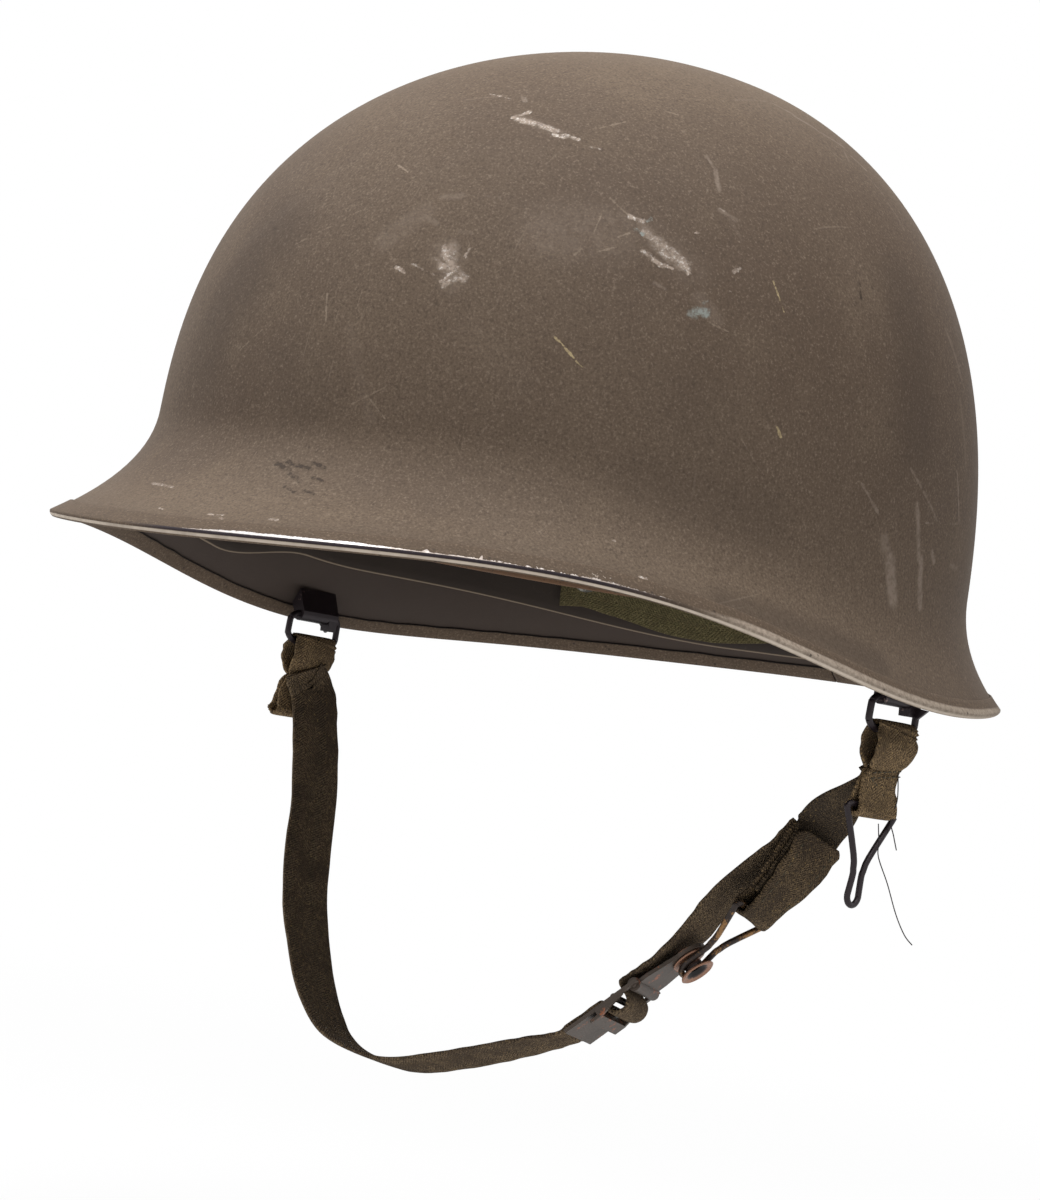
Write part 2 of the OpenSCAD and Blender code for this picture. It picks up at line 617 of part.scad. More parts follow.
// Upper run of a side: from the stitched pivot to the straight stretch.
function upper_run(n) = [
    [crease_at + [0, -1.9, 5], [0, -0.93, -0.36]],
    [crease_at, [0, -0.93, -0.36]],
    [crease_at + [-1.6, 1.9, -5], [0, -0.93, -0.36]],
    [crease_at * 0.5 + frame_point(clip_frame, 0, -sleeve_end, n) * 0.5 + [-0.5, 0, 0.5], [0.12, -0.95, 0]],
    [frame_point(clip_frame, 0, -sleeve_end - 4, n), clip_frame[1]]];
module strap_left() color(web_olive)
    ribbon(smooth(concat(upper_run(waist_n), [for (t = [sleeve_len - 3, 7.5])
        [frame_point(clip_frame, 0, -clip_len - t, waist_n), clip_frame[1]]]), 4), strap_w, strap_t);

// Lower run: the web goes under the chin, through the buckle and back up inside the clip.
under_n = -sheet_t / 2 - soft - strap_t / 2;
tail_n = -sheet_t / 2 - 1.3 - soft - strap_t / 2;
mid_bar_t = plate_len + 6.1;
lip_t = plate_len + 11.2;
buckle_end_t = plate_len - bar_d / 2 - 0.6 + buckle_len;
bulge_n = bar_d / 2 + strap_t + 1.3;
// A point of the chin run, as shares of the strap's drop, reach to the front and drop.
function chin_at(out, front, down) = [out * chin_drop, -front * chin_front, -down * chin_drop];
module strap_right() color(web_olive) {
    pf = function (t, n) [frame_point(plate_frame, 0, t, n), plate_frame[1]];
    cf = function (t, n) [frame_point(clip_frame, 0, t, n), clip_frame[1]];
    top = upper_run(0);
    inward = [-0.5, 0, 0];
    far = [for (p = [[top[0][0] + inward, top[0][1]], [top[1][0] + inward, top[1][1]],
                     [top[2][0] + 2 * inward, [0.05, -0.95, -0.28]],
                     [chin_at(0.758, -0.44, 0.433), [0.1, -0.94, -0.1]],
                     [chin_at(0.575, 0.32, 0.725), [0.15, -0.93, 0.12]]])
        [flip(p[0]), flip(p[1])]];
    chin = [[chin_at(-0.317, 0.97, 0.95), [-0.1, -0.97, 0.25]], [chin_at(-0.1, 1, 1), [0, -0.98, 0.2]],
            [chin_at(0.1, 0.963, 0.957), [0.05, -0.98, 0.22]],
            [chin_at(0.262, 0.815, 0.897), [0.15, -0.95, 0.2]],
            pf(buckle_end_t + 3, under_n - 0.4)];
    lace = [pf(buckle_end_t, under_n), pf(lip_t + 0.6, under_n), pf(lip_t - 1.9, under_n),
            pf(lip_t - 2, bulge_n), pf(mid_bar_t - 3, bulge_n), pf(mid_bar_t - 3, tail_n - 0.2),
            pf(mid_bar_t - 4.5, tail_n - 0.2), pf(plate_len - 2.5, tail_n), pf(6, tail_n)];
    tail = [cf(-6, tail_n - 0.9), cf(-tail_len / 2, tail_n - 2.6), cf(-tail_len, tail_n - 3.2)];
    ribbon(concat(smooth(concat(far, chin, [lace[0]]), 4),
                  [for (p = cut_corners(cut_corners(concat(lace, tail)))) if (p != lace[0]) p]),
           strap_w, strap_t);
}

// Stud, plate and buckle.
module strap_stud() color("#6d5544")
    in_frame(plate_frame) {
        flange = stud_flange_d / 2;
        waist = stud_waist_d / 2;
        hollow = stud_hollow_d / 2;
        base = sheet_t / 2 + fit;
        neck = waist_n - stud_waist_len / 2;
        top = waist_n + stud_waist_len / 2;
        rotate_extrude($fn = 72)
            polygon([[hollow, -sheet_t / 2 - 0.9], [waist + 0.6, -sheet_t / 2 - 0.9],
                     [waist + 0.6, -sheet_t / 2 - fit],
                     [waist - 0.2, -sheet_t / 2 - fit], [waist - 0.2, base], [flange - 0.3, base],
                     [flange, base + 0.3], [flange - 0.2, base + 0.6], [waist, neck], [waist, top],
                     [flange - 0.2, top + 0.5], [flange, top + 0.9], [flange - 0.4, top + 1.2],
                     [hollow + 1.2, top + 0.7], [hollow, top - 0.4]]);
    }

knuckle_r = bar_d / 2 + fit + 0.8;
rail_w = 1.6;
knuckle_w = buckle_w - 2 * rail_w - 2 * 0.3;
module stud_plate() color(steel_grey)
    in_frame(plate_frame)
        difference() {
            union() {
                translate([0, 0, -sheet_t / 2])
                    linear_extrude(sheet_t)
                        union() {
                            circle(r = stud_flange_d / 2 + 0.6, $fn = round_fn);
                            polygon([[-stud_flange_d / 2 - 0.3, 0], [stud_flange_d / 2 + 0.3, 0],
                                     [knuckle_w / 2 - 0.4, plate_len * 0.7],
                                     [knuckle_w / 2 - 0.4, plate_len], [-knuckle_w / 2 + 0.4, plate_len],
                                     [-knuckle_w / 2 + 0.4, plate_len * 0.7]]);
                        }
                translate([-knuckle_w / 2, plate_len, 0])
                    rotate([0, 90, 0]) cylinder(h = knuckle_w, r = knuckle_r, $fn = round_fn);
            }
            translate([0, 0, -sheet_t])
                cylinder(h = 2 * sheet_t, r = stud_waist_d / 2 - 0.2 + fit, $fn = round_fn);
            translate([-knuckle_w, plate_len, 0])
                rotate([0, 90, 0]) cylinder(h = 2 * knuckle_w, r = bar_d / 2 + fit, $fn = round_fn);
        }

module slide_buckle() color(steel_grey)
    in_frame(plate_frame)
        union() {
            start_t = buckle_end_t - buckle_len;
            for (s = [-1, 1])
                translate([s > 0 ? buckle_w / 2 - rail_w : -buckle_w / 2, start_t, -sheet_t / 2])
                    cube([rail_w, buckle_len, sheet_t]);
            translate([-buckle_w / 2, lip_t, -sheet_t / 2]) cube([buckle_w, buckle_end_t - lip_t, sheet_t]);
            translate([-buckle_w / 2, lip_t, -sheet_t / 2]) cube([buckle_w, sheet_t, sheet_t / 2 + 2.4]);
            translate([-buckle_w / 2, lip_t, 1.6]) cube([buckle_w, 3.6, 0.8]);
            // Side cheeks rise from the rails to the lip.
            for (s = [-1, 1])
                translate([s > 0 ? buckle_w / 2 - 1 : -buckle_w / 2, 0, 0])
                    rotate([90, 0, 90])
                        linear_extrude(1)
                            polygon([[mid_bar_t - 3, 0], [mid_bar_t - 2.4, 0.9],
                                     [lip_t + 0.3, 2.4], [lip_t + 0.3, 0]]);
            for (t = [plate_len, mid_bar_t])
                translate([-buckle_w / 2 + 0.5, t, 0])
                    rotate([0, 90, 0]) cylinder(h = buckle_w - 1, d = bar_d, $fn = round_fn);
        }

steel_shell();
rim_strip();
hinge_lug_left();
hinge_lug_right();
bale_left();
bale_right();
liner_shell();
liner_rivets();
a_washers();
cradle_arms();
crown_lace();
head_band();
sweatband();
sweatband_clips();
sweatband_buckle();
nape_web();
nape_studs();
anchor_web_left();
anchor_web_right();
spare_clip();
strap_left();
clip_sleeve();
lower_clip();
strap_stud();
stud_plate();
slide_buckle();
strap_right();
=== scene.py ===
"""Looks of the two-piece steel helmet: steel shell, liner, head suspension and chin strap."""

import logging
import math
from collections.abc import Mapping, Sequence
from dataclasses import dataclass
from enum import Enum

import bmesh
import bpy
import numpy as np
from mathutils import Matrix


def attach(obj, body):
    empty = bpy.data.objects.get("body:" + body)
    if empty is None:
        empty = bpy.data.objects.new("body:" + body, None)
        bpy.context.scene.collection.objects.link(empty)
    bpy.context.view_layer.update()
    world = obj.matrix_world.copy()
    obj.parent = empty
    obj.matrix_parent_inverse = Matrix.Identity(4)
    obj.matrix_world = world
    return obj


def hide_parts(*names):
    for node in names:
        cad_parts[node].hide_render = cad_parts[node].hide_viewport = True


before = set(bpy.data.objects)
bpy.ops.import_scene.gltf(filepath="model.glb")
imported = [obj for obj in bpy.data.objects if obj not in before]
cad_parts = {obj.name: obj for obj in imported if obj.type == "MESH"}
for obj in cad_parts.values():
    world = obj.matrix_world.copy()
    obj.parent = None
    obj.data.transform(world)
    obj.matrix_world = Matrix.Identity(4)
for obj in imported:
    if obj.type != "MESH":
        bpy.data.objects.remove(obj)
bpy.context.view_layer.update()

LOG = logging.getLogger("helmet")
MM = 0.001
Vec = tuple[float, float, float]
Rgb = tuple[int, int, int]


def unit(v: np.ndarray) -> np.ndarray:
    """Returns the vectors at length one."""
    v = np.asarray(v, float)
    return v / np.linalg.norm(v, axis=-1, keepdims=True)


def catmull(rows: np.ndarray, steps: int) -> np.ndarray:
    """Runs a smooth curve through rows.

    Args:
        rows: Control values, one per row.
        steps: Curve points from one row to the next.

    Returns:
        The curve's points, ending on the last row.
    """
    rows = np.asarray(rows, float)
    pad = np.concatenate([rows[:1], rows, rows[-1:]])
    t = (np.arange(steps) / steps).reshape(-1, *[1] * (rows.ndim - 1))
    out = []
    for i in range(len(rows) - 1):
        p0, p1, p2, p3 = pad[i : i + 4]
        square, cube = 2 * p0 - 5 * p1 + 4 * p2 - p3, 3 * p1 - p0 - 3 * p2 + p3
        out.append(0.5 * (2 * p1 + (p2 - p0) * t + square * t**2 + cube * t**3))
    return np.concatenate([*out, rows[-1:]])


def cut_corners(rows: np.ndarray, times: int = 1) -> np.ndarray:
    """Rounds the corners of a polyline by cutting each at a quarter.

    Args:
        rows: Corner values, one per row.
        times: How often the corners are cut.

    Returns:
        The rounded polyline.
    """
    rows = np.asarray(rows, float)
    for _ in range(times):
        a, b = rows[:-1], rows[1:]
        mid = np.stack([a * 0.75 + b * 0.25, a * 0.25 + b * 0.75], 1).reshape(-1, *rows.shape[1:])
        rows = np.concatenate([rows[:1], mid, rows[-1:]])
    return rows


def wobble(count: int, seed: int, knots: int) -> np.ndarray:
    """Returns a slow random wave of count values between about -1 and 1, the same for a seed."""
    knots_y = np.random.default_rng(seed).uniform(-1, 1, knots)
    return np.interp(np.linspace(0, knots - 1, count), np.arange(knots), knots_y)


def linked(name: str, data: bpy.types.ID) -> bpy.types.Object:
    """Makes an object of its data and puts it in the scene.

    Args:
        name: The object's name.
        data: Its mesh, camera or lamp.

    Returns:
        The new object.
    """
    made = bpy.data.objects.new(name, data)
    bpy.context.scene.collection.objects.link(made)
    return made


@dataclass(frozen=True)
class Frame:
    """A place on the part with its own width, length and outward axes."""

    at: np.ndarray
    width: np.ndarray
    length: np.ndarray
    out: np.ndarray

    @staticmethod
    def facing(at: Sequence[float], length: Sequence[float], out: Sequence[float]) -> "Frame":
        """Makes a frame from its length direction and about where its outward side faces.

        Args:
            at: Its place.
            length: The direction of its length.
            out: About where its outward side faces.

        Returns:
            The frame, with its three axes square to each other.
        """
        run = unit(np.array(length, float))
        width = unit(np.cross(run, out))
        return Frame(np.array(at, float), width, run, np.cross(width, run))

    def point(self, w: float, t: float, n: float) -> np.ndarray:
        """Returns the point at a width, length and outward distance."""
        return self.at + w * self.width + t * self.length + n * self.out


@dataclass(frozen=True)
class View:
    """Where the photograph was taken from, in millimetres, as fitted to the helmet's outline."""

    at: Vec = (624.2, -671.8, -21.5)
    right: Vec = (0.721, 0.674, 0.161)
    back: Vec = (0.687, -0.726, -0.035)
    lens: float = 99.54
    sensor: float = 36.0
    photo_w: int = 1040
    photo_h: int = 1200

    def axes(self) -> tuple[np.ndarray, np.ndarray, np.ndarray]:
        """Returns the directions to the picture's right, to its top and back to the camera.

        Returns:
            Three directions of length one, square to each other.
        """
        back = unit(np.array(self.back))
        right = unit(np.array(self.right) - np.dot(self.right, back) * back)
        return right, np.cross(back, right), back

    def focal(self) -> float:
        """Returns the lens's focal length in the photograph's pixels."""
        return self.lens / self.sensor * self.photo_h

    def sight(self, pixels: np.ndarray) -> np.ndarray:
        """Returns the directions in which pixels look.

        Args:
            pixels: Places in the photograph, from its left and from its top.

        Returns:
            One direction for each of them, at length one.
        """
        right, up, back = self.axes()
        across = (pixels[:, :1] - self.photo_w / 2) / self.focal()
        rise = (self.photo_h / 2 - pixels[:, 1:]) / self.focal()
        return unit(across * right + rise * up - back)


VIEW = View()


class Num:
    """A number that varies over a surface; arithmetic on it adds Math nodes."""

    def __init__(self, graph: "Nodes", socket: bpy.types.NodeSocket) -> None:
        """Wraps a socket of a node tree."""
        self.graph = graph
        self.socket = socket

    def _math(self, operation: str, other: "Num | float | None" = None, swap: bool = False) -> "Num":
        """Adds one Math node.

        Args:
            operation: The node's operation.
            other: The second value, if the operation has one.
            swap: Whether the second value comes first.

        Returns:
            The node's result.
        """
        values = [self] if other is None else [self, other]
        values = values[::-1] if swap else values
        node = self.graph.node("ShaderNodeMath", {"operation": operation}, dict(enumerate(values)))
        return Num(self.graph, node.outputs[0])

    def __add__(self, other: "Num | float") -> "Num":
        """Adds."""
        return self._math("ADD", other)

    __radd__ = __add__

    def __sub__(self, other: "Num | float") -> "Num":
        """Subtracts."""
        return self._math("SUBTRACT", other)

    def __rsub__(self, other: float) -> "Num":
        """Subtracts from a number."""
        return self._math("SUBTRACT", other, swap=True)

    def __mul__(self, other: "Num | float") -> "Num":
        """Multiplies."""
        return self._math("MULTIPLY", other)

    __rmul__ = __mul__

    def __pow__(self, other: float) -> "Num":
        """Raises to a power."""
        return self._math("POWER", other)

    def sine(self) -> "Num":
        """Returns the sine."""
        return self._math("SINE")

    def zigzag(self, scale: float) -> "Num":
        """Returns a triangle wave between 0 and scale."""
        return self._math("PINGPONG", scale)

    def most(self, other: "Num | float") -> "Num":
        """Returns the larger value."""
        return self._math("MAXIMUM", other)

    def clamp(self) -> "Num":
        """Holds the value between 0 and 1."""
        return self.most(0.0)._math("MINIMUM", 1.0)

    def rise(self, low: float, high: float) -> "Num":
        """Returns 0 below low, 1 above high and a soft step between; high may be the lower one.

        Args:
            low: The value that gives 0.
            high: The value that gives 1.

        Returns:
            The stepped value.
        """
        ends = {"From Min": low, "From Max": high, "To Min": 0.0, "To Max": 1.0}
        if low > high:
            ends = {"From Min": high, "From Max": low, "To Min": 1.0, "To Max": 0.0}
        soft = {"interpolation_type": "SMOOTHSTEP"}
        node = self.graph.node("ShaderNodeMapRange", soft, {"Value": self, **ends})
        return Num(self.graph, node.outputs[0])


class Nodes:
    """A node tree of any kind, to which nodes are added by one method."""

    def __init__(self, tree: bpy.types.NodeTree) -> None:
        """Wraps a tree."""
        self.tree = tree

    def node(
        self, kind: str, settings: Mapping[str, object] | None = None,
        inputs: Mapping[str | int, object] | None = None,
    ) -> bpy.types.Node:
        """Adds one node.

        Args:
            kind: The node's type.
            settings: Properties of the node, set first.
            inputs: Values or links of its sockets, by name or number.

        Returns:
            The new node.
        """
        node = self.tree.nodes.new(kind)
        for key, value in (settings or {}).items():
            setattr(node, key, value)
        self.feed(node, inputs or {})
        return node

    def feed(self, node: bpy.types.Node, inputs: Mapping[str | int, object]) -> None:
        """Gives sockets of a node their values or links.

        Args:
            node: The node.
            inputs: Values or links of its sockets, by name or number.
        """
        for key, value in inputs.items():
            source = getattr(value, "socket", value)
            if isinstance(source, bpy.types.NodeSocket):
                self.tree.links.new(source, node.inputs[key])
            else:
                node.inputs[key].default_value = source

    def unlit(self) -> Num:
        """Returns 1 where the camera, a gloss or a glass looks straight at a surface, and 0 for its light.

        Returns:
            The share in which a backdrop shows as white.
        """
        path = self.node("ShaderNodeLightPath")
        seen = Num(self, path.outputs["Is Camera Ray"]).most(Num(self, path.outputs["Is Glossy Ray"]))
        return seen.most(Num(self, path.outputs["Is Transmission Ray"]))


class Graph(Nodes):
    """A material's node tree with the few steps that the finishes use."""

    def __init__(self, name: str) -> None:
        """Starts a material with a Principled shader.

        Args:
            name: The material's name.
        """
        self.material = bpy.data.materials.new(name)
        self.material.use_nodes = True
        super().__init__(self.material.node_tree)
        self.shader = self.tree.nodes["Principled BSDF"]

    def place(self) -> bpy.types.NodeSocket:
        """Returns the Object coordinates, in metres."""
        return self.node("ShaderNodeTexCoord").outputs["Object"]

    def uv(self) -> bpy.types.NodeSocket:
        """Returns the piece's own UV map."""
        return self.node("ShaderNodeTexCoord").outputs["UV"]

    def parts(self, vector: bpy.types.NodeSocket) -> tuple[Num, Num, Num]:
        """Returns a vector's three numbers."""
        node = self.node("ShaderNodeSeparateXYZ", None, {0: vector})
        return Num(self, node.outputs[0]), Num(self, node.outputs[1]), Num(self, node.outputs[2])

    def stretched(self, vector: bpy.types.NodeSocket, turn: Vec, scale: Vec) -> bpy.types.NodeSocket:
        """Turns and scales coordinates through a Mapping node."""
        node = self.node("ShaderNodeMapping", None, {"Vector": vector, "Rotation": turn, "Scale": scale})
        return node.outputs[0]

    def noise(self, vector: bpy.types.NodeSocket, scale: float, detail: float, rough: float) -> Num:
        """Returns a noise of a scale in cycles per unit."""
        inputs = {"Vector": vector, "Scale": scale, "Detail": detail, "Roughness": rough}
        return Num(self, self.node("ShaderNodeTexNoise", None, inputs).outputs[0])

    def cells(self, vector: bpy.types.NodeSocket, scale: float) -> Num:
        """Returns the distance to the nearest of scattered points."""
        node = self.node("ShaderNodeTexVoronoi", None, {"Vector": vector, "Scale": scale})
        return Num(self, node.outputs["Distance"])

    def stroke(self, vector: bpy.types.NodeSocket, start: Sequence[float], end: Sequence[float]) -> Num:
        """Returns the distance in metres to a straight stroke.

        Args:
            vector: Where the surface is.
            start: The stroke's start, in millimetres.
            end: The stroke's end, in millimetres.

        Returns:
            The distance to it.
        """
        a, run = np.array(start) * MM, (np.array(end) - np.array(start)) * MM
        math_node = "ShaderNodeVectorMath"
        away = self.node(math_node, {"operation": "SUBTRACT"}, {0: vector, 1: tuple(a)}).outputs[0]
        along = self.node(math_node, {"operation": "DOT_PRODUCT"}, {0: away, 1: tuple(run / (run @ run))})
        share = Num(self, along.outputs["Value"]).clamp()
        foot = self.node(math_node, {"operation": "SCALE"}, {0: tuple(run), "Scale": share}).outputs[0]
        gap = self.node(math_node, {"operation": "DISTANCE"}, {0: away, 1: foot})
        return Num(self, gap.outputs["Value"])

    def mix(self, first: object, second: object, share: Num | float) -> bpy.types.NodeSocket:
        """Mixes two colours by a share of the second."""
        node = self.node("ShaderNodeMix", {"data_type": "RGBA"}, {0: share, 6: first, 7: second})
        return node.outputs[2]

    def coats(self, colour: object, *layers: tuple[Rgb, Num | float]) -> bpy.types.NodeSocket:
        """Lays colours over another one.

        Args:
            colour: The colour below them.
            layers: The colours, each with the share in which it covers.

        Returns:
            The colour on top.
        """
        for over, share in layers:
            colour = self.mix(colour, tint(*over), share)
        return colour

    def finish(
        self, colour: object, rough: Num | float, metal: Num | float = 0.0, height: Num | None = None,
        depth: float = 0.0002, strength: float = 1.0, sheen: float = 0.0, specular: float = 0.5,
    ) -> bpy.types.Material:
        """Joins the results to the shader.

        Args:
            colour: The base colour.
            rough: The roughness.
            metal: How metallic it is.
            height: What the bump follows, from 0 to 1.
            depth: The bump's height in metres.
            strength: The bump's strength.
            sheen: The cloth sheen.
            specular: The specular level.

        Returns:
            The finished material.
        """
        self.feed(self.shader, {"Base Color": colour, "Roughness": rough, "Metallic": metal})
        self.feed(self.shader, {"Sheen Weight": sheen, "Specular IOR Level": specular})
        if height is not None:
            relief = {"Strength": strength, "Distance": depth, "Height": height}
            self.feed(self.shader, {"Normal": self.node("ShaderNodeBump", None, relief).outputs[0]})
        return self.material


def tint(red: int, green: int, blue: int) -> tuple[float, float, float, float]:
    """Returns a colour given as it shows on a screen, 0 to 255, as scene-linear values."""
    line = [c / 255 / 12.92 if c <= 10 else ((c / 255 + 0.055) / 1.055) ** 2.4 for c in (red, green, blue)]
    return (*line, 1.0)


def solid(
    name: str, points: np.ndarray, faces: Sequence[Sequence[int]], material: bpy.types.Material,
    uv: np.ndarray | None = None, period: float = 0.0,
) -> bpy.types.Object:
    """Makes a closed, smooth mesh object from millimetre points.

    Args:
        name: The piece's name.
        points: Its corners, in millimetres.
        faces: Its faces, as lists of corner numbers.
        material: Its finish.
        uv: A UV place for each corner.
        period: How far u runs before it comes round again, or 0 for an open strip.

    Returns:
        The new object, with its faces pointing outwards.
    """
    mesh = bpy.data.meshes.new(name)
    mesh.from_pydata((np.asarray(points, float) * MM).tolist(), [], [list(map(int, f)) for f in faces])
    work = bmesh.new()
    work.from_mesh(mesh)
    bmesh.ops.recalc_face_normals(work, faces=work.faces)
    work.to_mesh(mesh)
    work.free()
    mesh.polygons.foreach_set("use_smooth", [True] * len(mesh.polygons))
    mesh.materials.append(material)
    if uv is not None:
        layer = mesh.uv_layers.new(name="UVMap")
        corner = np.zeros(len(mesh.loops), int)
        mesh.loops.foreach_get("vertex_index", corner)
        places = np.asarray(uv, float)[corner]
        if period:
            starts = np.array([f.loop_start for f in mesh.polygons])
            totals = np.array([f.loop_total for f in mesh.polygons])
            high = np.repeat(np.maximum.reduceat(places[:, 0], starts), totals)
            places[:, 0] += np.where(high - places[:, 0] > period / 2, period, 0)
        layer.data.foreach_set("uv", places.ravel())
    return linked(name, mesh)


def skin(sections: np.ndarray, ring: bool = False) -> tuple[np.ndarray, list[list[int]]]:
    """Joins closed sections into a tube.

    Args:
        sections: The sections, their points and coordinates.
        ring: Whether the last section joins the first one; otherwise both ends are capped.

    Returns:
        The points and the faces.
    """
    count, around = sections.shape[:2]
    k, i = np.meshgrid(np.arange(count if ring else count - 1), np.arange(around), indexing="ij")
    j, n = (i + 1) % around, (k + 1) % count
    corners = [k * around + i, k * around + j, n * around + j, n * around + i]
    quads = np.stack(corners, -1).reshape(-1, 4).tolist()
    if not ring:
        quads += [list(range(around))[::-1], list(range((count - 1) * around, count * around))]
    return sections.reshape(-1, 3), quads


def run_lengths(path: np.ndarray) -> np.ndarray:
    """Returns how far along a path each of its points lies."""
    return np.concatenate([[0], np.cumsum(np.linalg.norm(np.diff(path, axis=0), axis=1))])


def headings(path: np.ndarray, ring: bool) -> np.ndarray:
    """Works out which way a path runs.

    Args:
        path: Its points.
        ring: Whether it closes on itself.

    Returns:
        The direction at each of its points.
    """
    if ring:
        return unit(np.roll(path, -1, 0) - np.roll(path, 1, 0))
    pad = np.concatenate([path[:1], path, path[-1:]])
    return unit(pad[2:] - pad[:-2])


def strip_uv(far: np.ndarray, across: np.ndarray) -> np.ndarray:
    """Returns the UV places of a strip's sections, from how far along it and how far across they lie."""
    return np.stack(np.broadcast_arrays(far[:, None], across), -1).reshape(-1, 2)


def outline(width: float, thick: float, points: int = 24) -> np.ndarray:
    """Draws a rounded flat outline.

    Args:
        width: How wide it is.
        thick: How thick it is.
        points: How many points it has.

    Returns:
        Its points, as distances across and up.
    """
    turn = np.linspace(0, 2 * np.pi, points, endpoint=False) + np.pi / points
    c, s = np.cos(turn), np.sin(turn)
    across, up = np.sign(c) * np.abs(c) ** 0.55 * width / 2, np.sign(s) * np.abs(s) ** 0.3 * thick / 2
    return np.stack([across, up], -1)


@dataclass(frozen=True)
class Web:
    """A flat woven web along a path of points, each with the direction of the web's width."""

    width: float
    thick: float
    seed: int = 1
    ruffle: float = 0.12
    ridge: float = 0.0
    sag: float = 0.0
    unevenness: float = 0.12

    def build(
        self, name: str, rows: np.ndarray, material: bpy.types.Material, ring: bool = False,
        widths: np.ndarray | None = None,
    ) -> bpy.types.Object:
        """Makes the web.

        Args:
            name: The piece's name.
            rows: Points and width directions, in millimetres.
            material: Its finish.
            ring: Whether the web closes on itself.
            widths: A factor on the width at each row.

        Returns:
            The new object.
        """
        spots, hints = rows[:, 0], rows[:, 1]
        along = headings(spots, ring)
        across = unit(hints - np.sum(hints * along, 1, keepdims=True) * along)
        up = np.cross(along, across)
        flat = outline(self.width, self.thick)
        count = len(spots)
        grow = np.ones(count) if widths is None else widths
        left, right = (
            grow * (1 + self.ruffle / self.width * 2 * wobble(count, seed, max(4, count // 2)))
            for seed in (self.seed, self.seed + 50)
        )
        cross = np.where(flat[None, :, 0] > 0, right[:, None], left[:, None]) * flat[None, :, 0]
        lift = self.ridge * np.exp(-((flat[:, 0] / 1.5) ** 2)) - self.sag * (2 * flat[:, 0] / self.width) ** 2
        lift = lift[None] * (0.75 + 0.35 * wobble(count, self.seed + 90, max(4, count // 5)))[:, None]
        waves = self.unevenness * wobble(count, self.seed + 20, max(4, count // 3))
        rise = flat[None, :, 1] + lift + waves[:, None]
        sections = spots[:, None] + across[:, None] * cross[..., None] + up[:, None] * rise[..., None]
        far = run_lengths(np.concatenate([spots, spots[:1]]) if ring else spots)
        points, faces = skin(sections, ring)
        return solid(name, points, faces, material, strip_uv(far[:count], cross), far[-1] if ring else 0.0)


def tube(
    name: str, path: np.ndarray, radius: float, material: bpy.types.Material, sides: int = 14,
    ring: bool = False,
) -> bpy.types.Object:
    """Makes a round wire along a path.

    Args:
        name: The piece's name.
        path: Its middle line, in millimetres.
        radius: Its radius.
        material: Its finish.
        sides: Points round it.
        ring: Whether it closes on itself.

    Returns:
        The new object.
    """
    along = headings(path, ring)
    side = np.cross(along[0], (0.3, 0.2, 1.0))
    turn = np.linspace(0, 2 * np.pi, sides, endpoint=False)
    sections = []
    for spot, direction in zip(path, along):
        side = unit(side - (side @ direction) * direction)
        over = np.cross(direction, side)
        sections.append(spot + radius * (np.cos(turn)[:, None] * side + np.sin(turn)[:, None] * over))
    points, faces = skin(np.array(sections), ring)
    return solid(name, points, faces, material)


